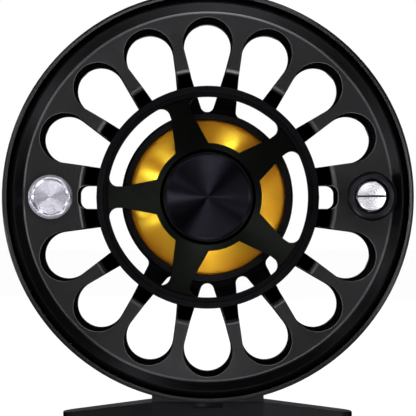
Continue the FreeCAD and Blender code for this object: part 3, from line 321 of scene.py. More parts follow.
@dataclass(frozen=True)
class MetalFinish:
    """A bare, plated or anodised metal surface.

    Attributes:
        name: name of the finish.
        slot: the material slot that it stands for.
        colour: colour of the metal or its dye.
        worn: colour at rubbed edges.
        roughness: how dull it is.
        grain: how it was worked.
        anisotropy: how far its highlights stretch across the grooves.
        pitch: distance between grooves.
        bump: how strongly the grooves show.
        mottle: share by which the colour drifts.
        edge: size of the softened edges.
        wear: how strongly edges are rubbed.
        grazing: how strongly it reflects at a glancing angle.
        painted_rim_shade: darker colour painted as shade beyond rim_r, if there is one.
        rim_r: distance from the axis where that painted shade starts.
        painted_shade_colour: darker colour painted as shade on surfaces in front of painted_shade_y, if
            there is one.
        painted_shade_y: place along the axis where that painted shade ends.
        gleam: colour of the sharper reflection of the crests, if there is one.
        gleam_share: how much of that reflection shows.
        gleam_roughness: how dull that reflection is.
        cloud_scale: broad patches of tone in a metre.
        patch_scale: patches of wear in a metre.
        patch_low: least wear between the patches.
        fine_drift: roughness that comes and goes with the grooves.
        cloud_drift: roughness that comes and goes with the broad patches.
    """

    name: str
    slot: str
    colour: Colour
    worn: Colour
    roughness: float
    grain: Grain = Grain.TURNED
    anisotropy: float = 0.0
    pitch: float = 0.12 * MM
    bump: float = 0.15
    mottle: float = 0.12
    edge: float = 0.12 * MM
    wear: float = 0.6
    grazing: float = 1.0
    painted_rim_shade: Optional[Colour] = None
    rim_r: float = 0.0
    painted_shade_colour: Optional[Colour] = None
    painted_shade_y: float = 0.0
    gleam: Optional[Colour] = None
    gleam_share: float = 0.55
    gleam_roughness: float = 0.24
    cloud_scale: float = 90.0
    patch_scale: float = 900.0
    patch_low: float = 0.3
    fine_drift: float = 0.05
    cloud_drift: float = 0.03

    def material(self, axis: Axis) -> bpy.types.Material:
        """Build the finish for a piece that was worked about an axis.

        Args:
            axis: the piece's own axis.

        Returns:
            The material.
        """
        key = f"{self.name}_{round(axis.x / MM)}_{round(axis.z / MM)}"
        if key in bpy.data.materials:
            return bpy.data.materials[key]
        sketch = Sketch(bpy.data.materials.new(key))
        point = sketch.place(axis)
        clouds = sketch.noise(point, self.cloud_scale)
        if self.grain is Grain.TURNED:
            fine = sketch.rings(point, self.pitch)
        else:
            fine = sketch.noise(point, 1.0 / self.pitch, FINE_DETAIL)
        softened, edges = sketch.edge_wear(self.edge, self.wear)
        patches = sketch.spread(sketch.noise(point, self.patch_scale), self.patch_low, 1.0)
        worn = sketch.blend(sketch.maths("MULTIPLY", edges, patches), self.shade(sketch, point, clouds),
                            opaque(self.worn))
        ridges = sketch.add("Bump", {"Strength": self.bump, "Distance": self.pitch, "Height": fine,
                                     "Normal": softened}).outputs[0]
        drift = sketch.maths("ADD", sketch.spread(fine, -self.fine_drift, self.fine_drift),
                             sketch.spread(clouds, -self.cloud_drift, self.cloud_drift))
        roughness = sketch.maths("ADD", drift, self.roughness, clamp=True)
        shader = self.metal(sketch, ridges, worn, roughness, self.grazing)
        if self.gleam:
            crests = self.metal(sketch, ridges, opaque(self.gleam), self.gleam_roughness)
            shader = sketch.mix(self.gleam_share, shader, crests)
        return sketch.finish(shader)

    def shade(self, sketch: Sketch, point: Socket, clouds: Socket) -> Socket:
        """Lay out the colour of the unworn surface, with any painted shade.

        Args:
            sketch: the material being wired.
            point: the surface point measured from the axis.
            clouds: the broad patches of tone.

        Returns:
            The colour's socket.
        """
        shade = sketch.blend(clouds, opaque(self.colour, 1 - self.mottle),
                             opaque(self.colour, 1 + self.mottle))
        # Painted shade: surfaces farther from the axis than rim_r take the darker painted_rim_shade.
        if self.painted_rim_shade:
            outside = sketch.maths("GREATER_THAN", sketch.radius(point), self.rim_r)
            shade = sketch.blend(outside, shade, opaque(self.painted_rim_shade))
        # Painted shade: surfaces in front of painted_shade_y take the darker painted_shade_colour.
        if self.painted_shade_colour:
            shaded_front = sketch.maths("LESS_THAN", sketch.depth(point), self.painted_shade_y)
            shade = sketch.blend(shaded_front, shade, opaque(self.painted_shade_colour))
        return shade

    def metal(self, sketch: Sketch, normal: Socket, colour: object, roughness: object,
              grazing: float = 1.0) -> Node:
        """Add a metal shader with the surface's grooves.

        Args:
            sketch: the material being wired.
            normal: the grooves' normal.
            colour: a colour or a socket.
            roughness: a number or a socket.
            grazing: how strongly it reflects at a glancing angle.

        Returns:
            The shader's node.
        """
        inputs = {"Base Color": colour, "Metallic": 1.0, "Roughness": roughness, "Normal": normal,
                  "Specular Tint": opaque(WHITE, grazing)}
        if self.anisotropy:
            around = sketch.add("Tangent", direction_type="RADIAL", axis="Y").outputs[0]
            inputs.update({"Tangent": around, "Anisotropic": self.anisotropy,
                           "Anisotropic Rotation": GROOVE_TURN})
        return sketch.add("BsdfPrincipled", inputs)


@dataclass(frozen=True)
class PolymerFinish:
    """Rubber, carbon fibre or moulded plastic.

    Attributes:
        name: name of the finish.
        slot: the material slot that it stands for.
        colour: its colour.
        roughness: how dull it is.
        grain_scale: grains in a metre.
        bump: how strongly the grain shows.
        level: how strongly it reflects.
        grain_depth: height of the grain.
        cloud_scale: broad patches of tone in a metre.
        darkest: least share of the colour.
        palest: greatest share of the colour.
        drift: roughness that comes and goes with the grain.
    """

    name: str
    slot: str
    colour: Colour
    roughness: float
    grain_scale: float = 3000.0
    bump: float = 0.2
    level: float = 0.5
    grain_depth: float = 0.05 * MM
    cloud_scale: float = 120.0
    darkest: float = 0.8
    palest: float = 1.25
    drift: float = 0.06

    def material(self, axis: Axis) -> bpy.types.Material:
        """Build the finish.

        Args:
            axis: the piece's own axis.

        Returns:
            The material.
        """
        if self.name in bpy.data.materials:
            return bpy.data.materials[self.name]
        sketch = Sketch(bpy.data.materials.new(self.name))
        point = sketch.place(axis)
        pebble = sketch.noise(point, self.grain_scale, FINE_DETAIL)
        clouds = sketch.noise(point, self.cloud_scale)
        shade = sketch.blend(clouds, opaque(self.colour, self.darkest), opaque(self.colour, self.palest))
        roughness = sketch.spread(pebble, self.roughness - self.drift, self.roughness + self.drift)
        ridges = sketch.add("Bump", {"Strength": self.bump, "Distance": self.grain_depth,
                                     "Height": pebble}).outputs[0]
        return sketch.finish(sketch.add("BsdfPrincipled", {
            "Base Color": shade, "Roughness": roughness, "Specular IOR Level": self.level,
            "Normal": ridges}))


BLACK = MetalFinish("black_anodised", "black_anodised", (0.022, 0.022, 0.024), (0.09, 0.09, 0.095),
                    0.27, anisotropy=0.3, grazing=0.4)
# The back plate's front side, seen through the spool, is darkened as painted shade.
BACK_BLACK = MetalFinish("back_plate_anodised", "black_anodised", (0.022, 0.022, 0.024),
                         (0.09, 0.09, 0.095), 0.27, anisotropy=0.3, grazing=0.05,
                         painted_shade_colour=(0.003, 0.003, 0.0035), painted_shade_y=12.9 * MM)
FOOT_BLACK = MetalFinish("foot_anodised", "black_anodised", (0.010, 0.010, 0.011), (0.06, 0.06, 0.065),
                         0.36, grazing=0.0)
CAGE_BLACK = MetalFinish("cage_anodised", "black_anodised", (0.022, 0.022, 0.023), (0.07, 0.07, 0.075),
                         0.24, anisotropy=0.3, edge=0.2 * MM, wear=1.0, grazing=0.1)
# A darker copy of the black anodise: painted shade on the flange's rim, crest and cone, on the hole walls,
# the arbor and the rear flange.
PAINTED_SHADE_BLACK = MetalFinish("deep_black_anodised", "black_anodised", (0.003, 0.003, 0.0035),
                         (0.015, 0.015, 0.018), 0.25, wear=0.2, grazing=0.1)
CHARCOAL = MetalFinish("charcoal_anodised", "black_anodised", (0.013, 0.0132, 0.0138),
                       (0.04, 0.04, 0.045), 0.3, anisotropy=0.3, bump=0.03, wear=0.1, grazing=0.1)
# A darker copy of the black anodise: painted shade on the slope up to the rim.
RAMP_PAINTED_SHADE = MetalFinish("ramp_anodised", "black_anodised", (0.008, 0.008, 0.0085), (0.02, 0.02, 0.02),
                         0.3, anisotropy=0.3, bump=0.03, wear=0.1, grazing=0.1)
# A lighter copy of the black anodise: a painted highlight on the rounded shoulder and on the ramp's foot.
ROUNDS_PAINTED_HIGHLIGHT = MetalFinish("shoulder_anodised", "black_anodised", (0.035, 0.035, 0.037),
                            (0.07, 0.07, 0.07), 0.3, anisotropy=0.3, bump=0.03, wear=0.1, grazing=0.1)
CAP_BLACK = MetalFinish("cap_anodised", "cap_anodised", (0.0050, 0.0045, 0.0066), (0.05, 0.05, 0.055),
                        0.25, anisotropy=1.0, wear=0.3, grazing=0.2)
# The star's outer ring is darkened as painted shade.
STAR_GREY = MetalFinish("grey_anodised", "grey_anodised", (0.0045, 0.0052, 0.0043),
                        (0.015, 0.015, 0.015), 0.32, grain=Grain.BLASTED, grazing=0.2,
                        painted_rim_shade=(0.002, 0.002, 0.0023), rim_r=21.6 * MM)
GOLD = MetalFinish("gold_anodised", "gold_anodised", (0.93, 0.22, 0.010), (0.95, 0.45, 0.08),
                   0.44, anisotropy=0.9, pitch=0.2 * MM, gleam=(1.0, 0.86, 0.06), gleam_share=0.62,
                   gleam_roughness=0.24)
LAVENDER = MetalFinish("pale_anodised", "bright_aluminium", (0.34, 0.335, 0.38), (0.6, 0.6, 0.65),
                       0.25, anisotropy=0.8, pitch=0.2 * MM, bump=0.01, wear=0.3)
STEEL = MetalFinish("stainless", "steel", (0.56, 0.56, 0.58), (0.75, 0.75, 0.76), 0.22)
SCREW = MetalFinish("screw_steel", "screw_steel", (0.36, 0.36, 0.38), (0.6, 0.6, 0.62),
                    0.26, bump=0.03, wear=0.3)
# A darkened copy of the screw steel: painted shade in the screw's slot.
SLOT_PAINTED_SHADE = MetalFinish("slot_steel", "screw_steel", (0.03, 0.032, 0.035), (0.1, 0.1, 0.11),
                         0.4, bump=0.05, wear=0.2, grazing=0.2)
SPRING = MetalFinish("spring_steel", "spring_steel", (0.35, 0.34, 0.33), (0.6, 0.6, 0.6), 0.3)
BRONZE = MetalFinish("bronze", "bronze", (0.50, 0.28, 0.10), (0.7, 0.45, 0.2), 0.3)
HANDLE_BLACK = MetalFinish("handle_black", "handle_black", (0.008, 0.008, 0.0095), (0.05, 0.05, 0.055),
                           0.3, anisotropy=0.3, grazing=0.3)
CARBON = PolymerFinish("carbon_fibre", "carbon", (0.02, 0.02, 0.021), 0.35, 2200.0, 0.35)
RUBBER = PolymerFinish("black_rubber", "black_rubber", (0.018, 0.018, 0.018), 0.6)

FINISHES = {
    STEEL: """spindle spindle_nut bearing_inner_races bearing_outer_races bearing_balls
        bearing_spacer steel_washers knob_washer clutch_shell clutch_rollers pawl_pin
        pawl_spring_post handle_post handle_washer drag_rotor pressure_plate thrust_pins
        knob_cam_ring detent_ball""",
    SCREW: "frame_screws foot_screws housing_screws knob_screw counterweight_screw handle_screw",
    SPRING: "spindle_clip pawl_spring belleville_springs detent_spring",
    BRONZE: "click_ring click_pawl handle_bushes rotor_bush",
    RUBBER: "housing_seal cap_oring",
    CARBON: "carbon_washers",
    GOLD: "drag_housing",
    CAGE_BLACK: "frame_cage",
    BACK_BLACK: "frame_back_plate",
    FOOT_BLACK: "reel_foot",
    CHARCOAL: "spool_front_flange",
    # The arbor and the rear flange take the darker black as painted shade.
    PAINTED_SHADE_BLACK: "spool_arbor spool_back_flange",
    STAR_GREY: "spool_star",
    CAP_BLACK: "spool_cap",
    LAVENDER: "counterweight",
    HANDLE_BLACK: "handle_knob",
    BLACK: "drag_knob",
}
DRESS = {node: finish for finish, nodes in FINISHES.items() for node in nodes.split()}


def dress_nodes() -> None:
    """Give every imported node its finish, worked about the node's own axis."""
    for name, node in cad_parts.items():
        material = DRESS[name].material(Axis.of(name))
        if not node.material_slots:
            node.data.materials.append(material)
        for slot in node.material_slots:
            slot.material = material
    log.info("dressed %d nodes", len(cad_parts))


# ================= mesh building =================
@dataclass(frozen=True)
class Corner:
    """One corner of an outline, its rounding, and the finishes of the stretch after it and its arc."""

    a: float
    b: float
    round: float = 0.0
    finish: int = 0
    arc: Optional[int] = None


def rounded(corners: Sequence[Corner], steps: int = 5) -> list[tuple[float, float, int]]:
    """Walk round a closed outline and turn its rounded corners into arcs.

    Args:
        corners: the outline's corners in order, in millimetres.
        steps: straight pieces in each arc.

    Returns:
        Tuples of the two coordinates in metres and the finish that follows.
    """
    path = []
    count = len(corners)
    for index, corner in enumerate(corners):
        here = Vector((corner.a, corner.b))
        if not corner.round:
            path.append((here.x * MM, here.y * MM, corner.finish))
            continue
        before, after = corners[index - 1], corners[(index + 1) % count]
        back = (Vector((before.a, before.b)) - here).normalized()
        ahead = (Vector((after.a, after.b)) - here).normalized()
        half = back.angle(ahead) / 2
        reach = corner.round / math.tan(half)
        middle = here + (back + ahead).normalized() * (corner.round / math.sin(half))
        first = here + back * reach - middle
        last = here + ahead * reach - middle
        sweep = first.angle_signed(last)
        along = before.finish if corner.arc is None else corner.arc
        for step in range(steps + 1):
            spoke = first.copy()
            spoke.rotate(Matrix.Rotation(-sweep * step / steps, 2))
            finish = corner.finish if step == steps else along
            path.append(((middle + spoke).x * MM, (middle + spoke).y * MM, finish))
    return path


def make_piece(name: str, vertices: list, faces: list, finishes: Optional[list] = None) -> Piece:
    """Make an object from plain mesh lists.

    Args:
        name: name of the piece.
        vertices: the corner points.
        faces: the faces as lists of point numbers.
        finishes: the material number of each face.

    Returns:
        The new object.
    """
    mesh = bpy.data.meshes.new(name)
    mesh.from_pydata(vertices, [], faces)
    if finishes:
        mesh.polygons.foreach_set("material_index", finishes)
    mesh.update()
    piece = bpy.data.objects.new(name, mesh)
    bpy.context.scene.collection.objects.link(piece)
    return piece


def circle(radius: float, steps: int, x: float = 0.0) -> list[Point]:
    """Walk round a circle.

    Args:
        radius: the circle's radius.
        steps: points on it.
        x: where its middle lies.

    Returns:
        The points in order.
    """
    turns = [2 * math.pi * step / steps for step in range(steps)]
    return [(x + radius * math.cos(turn), radius * math.sin(turn)) for turn in turns]


def turned(name: str, corners: Sequence[Corner], axis: Axis, segments: int = 192) -> Piece:
    """Turn a closed section about an axis, as on a lathe.

    Args:
        name: name of the piece.
        corners: the section as radius and place along the axis, in millimetres.
        axis: the line to turn about.
        segments: flats around the piece.

    Returns:
        The turned piece.
    """
    path = rounded(corners)
    vertices = []
    rows = []
    for radius, y, _ in path:
        if radius < ON_AXIS:
            rows.append([len(vertices)] * segments)
            vertices.append((axis.x, y, axis.z))
            continue
        rows.append(list(range(len(vertices), len(vertices) + segments)))
        vertices.extend((axis.x + x, y, axis.z + z) for x, z in circle(radius, segments))
    faces = []
    finishes = []
    for index, (_, _, finish) in enumerate(path):
        near, far = rows[index], rows[(index + 1) % len(rows)]
        for step in range(segments):
            after = (step + 1) % segments
            loop = [near[step], near[after], far[after], far[step]]
            face = [corner for place, corner in enumerate(loop) if corner not in loop[:place]]
            if len(face) > 2:
                faces.append(face)
                finishes.append(finish)
    return make_piece(name, vertices, faces, finishes)


def prism(name: str, outline: Sequence[Point], front: float, rear: float) -> Piece:
    """Stretch an outline along Y.

    Args:
        name: name of the piece.
        outline: its points as x and z in metres.
        front: where it starts along Y, in metres.
        rear: where it ends along Y, in metres.

    Returns:
        The straight-sided piece.
    """
    count = len(outline)
    vertices = [(x, y, z) for y in (front, rear) for x, z in outline]
    faces = [list(range(count)), list(reversed(range(count, 2 * count)))]
    for step in range(count):
        after = (step + 1) % count
        faces.append([step, step + count, after + count, after])
    return make_piece(name, vertices, faces)


def join(pieces: Sequence[Piece]) -> Piece:
    """Join pieces into the first of them.

    Args:
        pieces: the pieces to join.

    Returns:
        The joined piece.
    """
    with bpy.context.temp_override(active_object=pieces[0], selected_editable_objects=list(pieces)):
        bpy.ops.object.join()
    return pieces[0]


def squared(piece: Piece) -> None:
    """Turn every face of a mesh to look outward.

    Args:
        piece: the piece to mend.
    """
    work = bmesh.new()
    work.from_mesh(piece.data)
    bmesh.ops.recalc_face_normals(work, faces=work.faces)
    work.to_mesh(piece.data)
    work.free()


def carve(piece: Piece, tool: Piece) -> Piece:
    """Cut one piece away from another.

    Args:
        piece: the piece that stays.
        tool: the shape to cut away, which is used up.

    Returns:
        The carved piece.
    """
    squared(piece)
    squared(tool)
    cut = piece.modifiers.new("cut", "BOOLEAN")
    cut.operation = "DIFFERENCE"
    cut.solver = "EXACT"
    cut.object = tool
    graph = bpy.context.evaluated_depsgraph_get()
    mesh = bpy.data.meshes.new_from_object(piece.evaluated_get(graph))
    piece.modifiers.clear()
    piece.data = mesh
    bpy.data.objects.remove(tool)
    return piece


def smooth(piece: Piece, angle: float = 28.0) -> Piece:
    """Shade a piece smooth, with every sharper corner left crisp.

    Args:
        piece: the piece to shade.
        angle: the sharpest corner that is smoothed over, in degrees.

    Returns:
        The same piece.
    """
    squared(piece)
    piece.data.polygons.foreach_set("use_smooth", [True] * len(piece.data.polygons))
    piece.data.set_sharp_from_angle(angle=math.radians(angle))
    return piece


def coat(piece: Piece, axis: Axis, *finishes: MetalFinish) -> Piece:
    """Give a piece its finishes, worked about an axis.

    Args:
        piece: the piece, still without a finish.
        axis: the line it was worked about.
        finishes: its finishes, in the order of its material numbers.

    Returns:
        The same piece.
    """
    for finish in finishes:
        piece.data.materials.append(finish.material(axis))
    return piece


def line_cuts(tool: Piece, axis: Axis, outside: MetalFinish, cut: MetalFinish) -> Piece:
    """Give a cutter the finish of the faces that it leaves.

    Args:
        tool: the cutter, still without a finish.
        axis: the line that the piece was worked about.
        outside: the carved piece's first finish.
        cut: the finish of the cut faces, which is the carved piece's second.

    Returns:
        The same cutter.
    """
    tool.data.polygons.foreach_set("material_index", [1] * len(tool.data.polygons))
    return coat(tool, axis, outside, cut)


def settle(piece: Piece, slot: str, body: str, *nodes: str) -> Piece:
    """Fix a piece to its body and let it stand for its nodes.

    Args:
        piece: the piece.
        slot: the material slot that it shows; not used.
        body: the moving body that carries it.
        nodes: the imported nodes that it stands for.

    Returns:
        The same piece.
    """
    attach(piece, body)
    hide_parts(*nodes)
    log.info("%s: %d faces on %s", piece.name, len(piece.data.polygons), body)
    return piece


# ================= spool =================
@dataclass(frozen=True)
class FrontFlange:
    """The perforated front flange with its raised rim and the cone down to the arbor."""

    axis: Axis
    face: float = -13.0
    thickness: float = 1.6
    rim_r: float = 43.24
    rim_depth: float = 2.5
    lip_r: float = 41.6
    crest_height: float = 1.35
    crest_outer_r: float = 42.15
    crest_inner_r: float = 41.75
    ramp_foot_r: float = 39.8
    shoulder_r: float = 27.2
    arbor_r: float = 24.3
    seat_r: float = 22.9
    cone_depth: float = 5.8
    cone_rear_r: float = 28.7
    cone_foot_rear_r: float = 25.7
    hole_end_r: float = 38.95
    hole_round_r: float = 5.4
    hole_taper: float = 14.9
    short_hole_end_r: float = 28.2
    short_hole_half: float = 2.55
    short_hole_round: float = 1.8
    positions: int = 16
    crank_r: float = 35.2
    post_hole_r: float = 1.5
    screw_hole_r: float = 1.2
    edge: float = 0.2
    lip_edge: float = 0.3
    rim_drop: float = 0.35
    crest_outer_round: float = 0.15
    crest_inner_round: float = 0.12
    ramp_foot_round: float = 0.9
    cone_rear_round: float = 0.8
    cone_foot_round: float = 0.3
    shoulder_round: float = 1.3
    seat_edge: float = 0.15
    cut_ahead: float = 4.0
    cut_behind: float = 10.0
    segments: int = 256
    arc_steps: int = 40
    short_arc_steps: int = 8
    pin_steps: int = 32

    def section(self) -> list[Corner]:
        """List the corners of the flange's section.

        Returns:
            Corners from the ramp's foot outward, round the rim and back along the rear.
        """
        # Finish 1 darkens the rim, crest and cone as painted shade, finish 2 darkens the ramp as painted
        # shade, and finish 3 lightens the two rounds as a painted highlight.
        painted_shade, ramp, painted_highlight = 1, 2, 3
        rear = self.face + self.thickness
        crest = self.face - self.crest_height
        foot = self.face + self.cone_depth
        lip = self.face + self.rim_depth
        return [
            Corner(self.ramp_foot_r, self.face, self.ramp_foot_round, ramp, painted_highlight),
            Corner(self.crest_inner_r, crest, self.crest_inner_round, painted_shade),
            Corner(self.crest_outer_r, crest, self.crest_outer_round, painted_shade),
            Corner(self.rim_r, self.face - self.rim_drop, self.edge, painted_shade),
            Corner(self.rim_r, lip, self.edge, painted_shade),
            Corner(self.lip_r, lip, self.edge, painted_shade),
            Corner(self.lip_r, rear, self.lip_edge, painted_shade),
            Corner(self.cone_rear_r, rear, self.cone_rear_round, painted_shade),
            Corner(self.cone_foot_rear_r, foot + self.thickness, 0.0, painted_shade),
            Corner(self.seat_r, foot + self.thickness, 0.0, painted_shade),
            Corner(self.seat_r, foot, self.seat_edge, painted_shade),
            Corner(self.arbor_r, foot, self.cone_foot_round, painted_shade),
            Corner(self.shoulder_r, self.face, self.shoulder_round, 0, painted_highlight),
        ]

    def teardrop(self) -> list[Point]:
        """Draw one large hole: round outside, closing inward to an end concentric with the arbor.

        Returns:
            The outline's points for a hole that points along +X, in millimetres.
        """
        lean = math.radians(self.hole_taper)
        centre = self.hole_end_r - self.hole_round_r
        points = []
        for step in range(self.arc_steps + 1):
            turn = -math.pi / 2 - lean + (math.pi + 2 * lean) * step / self.arc_steps
            points.append((centre + self.hole_round_r * math.cos(turn), self.hole_round_r * math.sin(turn)))
        last_x, last_z = points[-1]
        half = last_z - (last_x - self.arbor_r) * math.tan(lean)
        edge = math.asin(half / self.arbor_r)
        for step in range(self.short_arc_steps + 1):
            turn = edge - 2 * edge * step / self.short_arc_steps
            points.append((self.arbor_r * math.cos(turn), self.arbor_r * math.sin(turn)))
        return points

    def short_hole(self) -> list[Point]:
        """Draw the small hole beside the counterweight and the handle.

        Returns:
            The outline's points for a hole that points along +X, in millimetres.
        """
        half = self.short_hole_half
        inner = math.sqrt(self.arbor_r ** 2 - half ** 2)
        corners = [
            Corner(inner, -half),
            Corner(self.short_hole_end_r, -half, self.short_hole_round),
            Corner(self.short_hole_end_r, half, self.short_hole_round),
            Corner(inner, half),
            Corner(self.arbor_r, 0.0),
        ]
        return [(x / MM, z / MM) for x, z, _ in rounded(corners, self.short_arc_steps)]

    def cutter(self, name: str, outline: Sequence[Point], turn: float = 0.0) -> Piece:
        """Make the cutter for one hole.

        Args:
            name: name of the cutter.
            outline: the hole's points as it lies along +X, in millimetres.
            turn: how far round the hole lies, in radians.

        Returns:
            The cutter.
        """
        placed = [(self.axis.x + (x * math.cos(turn) - z * math.sin(turn)) * MM,
                   self.axis.z + (x * math.sin(turn) + z * math.cos(turn)) * MM) for x, z in outline]
        return prism(name, placed, (self.face - self.cut_ahead) * MM, (self.face + self.cut_behind) * MM)

    def holes(self) -> Piece:
        """Make the ring of cutters for all the holes.

        Returns:
            One joined cutter.
        """
        tools = []
        for step in range(self.positions):
            outline = self.short_hole() if step % (self.positions // 2) == 0 else self.teardrop()
            tools.append(self.cutter("hole", outline, 2 * math.pi * step / self.positions))
        for place, radius in ((self.crank_r, self.post_hole_r), (-self.crank_r, self.screw_hole_r)):
            tools.append(self.cutter("pin_hole", circle(radius, self.pin_steps, place)))
        # The hole walls take the darker black as painted shade.
        return line_cuts(join(tools), self.axis, CHARCOAL, PAINTED_SHADE_BLACK)

    def build(self) -> Piece:
        """Turn the flange, cut its holes and dress it.

        Returns:
            The finished flange.
        """
        body = turned("front_flange", self.section(), self.axis, self.segments)
        # The face keeps the plain black; the other three finishes are painted shade, painted shade on the
        # ramp and a painted highlight on the rounds.
        coat(body, self.axis, CHARCOAL, PAINTED_SHADE_BLACK, RAMP_PAINTED_SHADE, ROUNDS_PAINTED_HIGHLIGHT)
        body = smooth(carve(body, self.holes()))
        return settle(body, CHARCOAL.slot, "spool", "spool_front_flange")


@dataclass(frozen=True)
class HubCap:
    """The bare turned cap over the spool's hub, with a shallow dish."""

    axis: Axis
    front: float = -15.9
    rear: float = -13.4
    spigot_rear: float = -12.22
    r: float = 9.35
    dish_r: float = 8.75
    dish_depth: float = 1.0
    spigot_r: float = 8.55
    edge: float = 0.12
    front_round: float = 0.3
    spigot_round: float = 0.2
    crisp: float = 40.0

    def build(self) -> Piece:
        """Turn the cap and dress it.

        Returns:
            The finished cap.
        """
        section = [
            Corner(0.0, self.front + self.dish_depth),
            Corner(self.dish_r, self.front, self.edge),
            Corner(self.r, self.front, self.front_round),
            Corner(self.r, self.rear, self.edge),
            Corner(self.spigot_r, self.rear),
            Corner(self.spigot_r, self.spigot_rear, self.spigot_round),
            Corner(0.0, self.spigot_rear),
        ]
        cap = smooth(turned("hub_cap", section, self.axis), self.crisp)
        return settle(coat(cap, self.axis, CAP_BLACK), CAP_BLACK.slot, "spool", "spool_cap")


@dataclass(frozen=True)
class Counterweight:
    """The turned counterweight opposite the handle."""

    axis: Axis
    front: float = -17.0
    rear: float = -13.0
    r: float = 4.75
    chamfer: float = 0.5
    dish_r: float = 3.6
    dish_depth: float = 0.12
    dish_round: float = 0.3
    edge: float = 0.1
    segments: int = 128
    crisp: float = 30.0

    def build(self) -> Piece:
        """Turn the counterweight and dress it.

        Returns:
            The finished counterweight.
        """
        section = [
            Corner(0.0, self.front + self.dish_depth / 2),
            Corner(self.dish_r, self.front + self.dish_depth, self.dish_round),
            Corner(self.dish_r + self.dish_round, self.front, self.dish_round),
            Corner(self.r - self.chamfer, self.front, self.edge),
            Corner(self.r, self.front + self.chamfer, self.edge),
            Corner(self.r, self.rear),
            Corner(0.0, self.rear),
        ]
        weight = smooth(turned("counterweight_barrel", section, self.axis, self.segments), self.crisp)
        return settle(coat(weight, self.axis, LAVENDER), LAVENDER.slot, "spool", "counterweight")


@dataclass(frozen=True)
class Handle:
    """The turned handle and the slotted screw in its end."""

    axis: Axis
    base: float = -14.7
    end: float = -36.6
    base_r: float = 3.9
    waist_r: float = 3.35
    waist: float = -20.5
    flare_r: float = 4.95
    flare: float = -31.5
    end_r: float = 5.18
    recess_r: float = 3.45
    recess: float = -34.0
    bore_r: float = 1.96
    bush_r: float = 2.61
    bush_length: float = 4.0
    screw_r: float = 3.13
    screw_front: float = -35.95
    screw_rear: float = -34.45
    shank_r: float = 1.0
    shank_rear: float = -28.45
    slot_half: float = 0.2
    slot_depth: float = 0.6
    slot_overrun: float = 1.2
    cut_ahead: float = 1.0
    edge: float = 0.1
    base_round: float = 0.5
    curve_round: float = 6.0
    end_round: float = 0.85
    recess_round: float = 0.35
    crown: float = 0.05
    screw_round: float = 0.3
    shank_round: float = 0.2
    knob_segments: int = 128
    screw_segments: int = 96
    crisp: float = 30.0

    def knob(self) -> Piece:
        """Turn the handle itself.

        Returns:
            The finished handle.
        """
        seat = self.base - self.bush_length
        front_seat = self.recess + self.bush_length
        section = [
            Corner(self.bush_r, self.base, self.edge),
            Corner(self.base_r, self.base, self.base_round),
            Corner(self.waist_r, self.waist, self.curve_round),
            Corner(self.flare_r, self.flare, self.curve_round),
            Corner(self.end_r, self.end, self.end_round),
            Corner(self.recess_r, self.end, self.recess_round),
            Corner(self.recess_r, self.recess, self.edge),
            Corner(self.bush_r, self.recess),
            Corner(self.bush_r, front_seat),
            Corner(self.bore_r, front_seat),
            Corner(self.bore_r, seat),
            Corner(self.bush_r, seat),
        ]
        knob = smooth(turned("handle_grip", section, self.axis, self.knob_segments), self.crisp)
        return settle(coat(knob, self.axis, HANDLE_BLACK), HANDLE_BLACK.slot, "handle", "handle_knob")

    def screw(self) -> Piece:
        """Turn the screw and mill its slot.

        Returns:
            The finished screw.
        """
        section = [
            Corner(0.0, self.screw_front - self.crown),
            Corner(self.screw_r, self.screw_front, self.screw_round),
            Corner(self.screw_r, self.screw_rear, self.edge),
            Corner(self.shank_r, self.screw_rear),
            Corner(self.shank_r, self.shank_rear, self.shank_round),
            Corner(0.0, self.shank_rear),
        ]
        screw = turned("handle_end_screw", section, self.axis, self.screw_segments)
        # The slot's faces take the darkened steel as painted shade.
        coat(screw, self.axis, SCREW, SLOT_PAINTED_SHADE)
        reach = self.screw_r * self.slot_overrun * MM
        half = self.slot_half * MM
        outline = [(self.axis.x + side * reach, self.axis.z + rise * half)
                   for side, rise in ((-1, -1), (1, -1), (1, 1), (-1, 1))]
        slot = prism("slot", outline, (self.screw_front - self.cut_ahead) * MM,
                     (self.screw_front + self.slot_depth) * MM)
        screw = smooth(carve(screw, line_cuts(slot, self.axis, SCREW, SLOT_PAINTED_SHADE)), self.crisp)
        return settle(screw, SCREW.slot, "spool", "handle_screw")

    def build(self) -> list[Piece]:
        """Build the handle and its screw.

        Returns:
            The two pieces.
        """
        return [self.knob(), self.screw()]


# ================= studio =================
class Mount(Enum):
    """Where a lamp stands."""

    STAND = "hung on a stand, facing the reel"
    FLOOR = "laid on the floor in front of the reel, facing up"


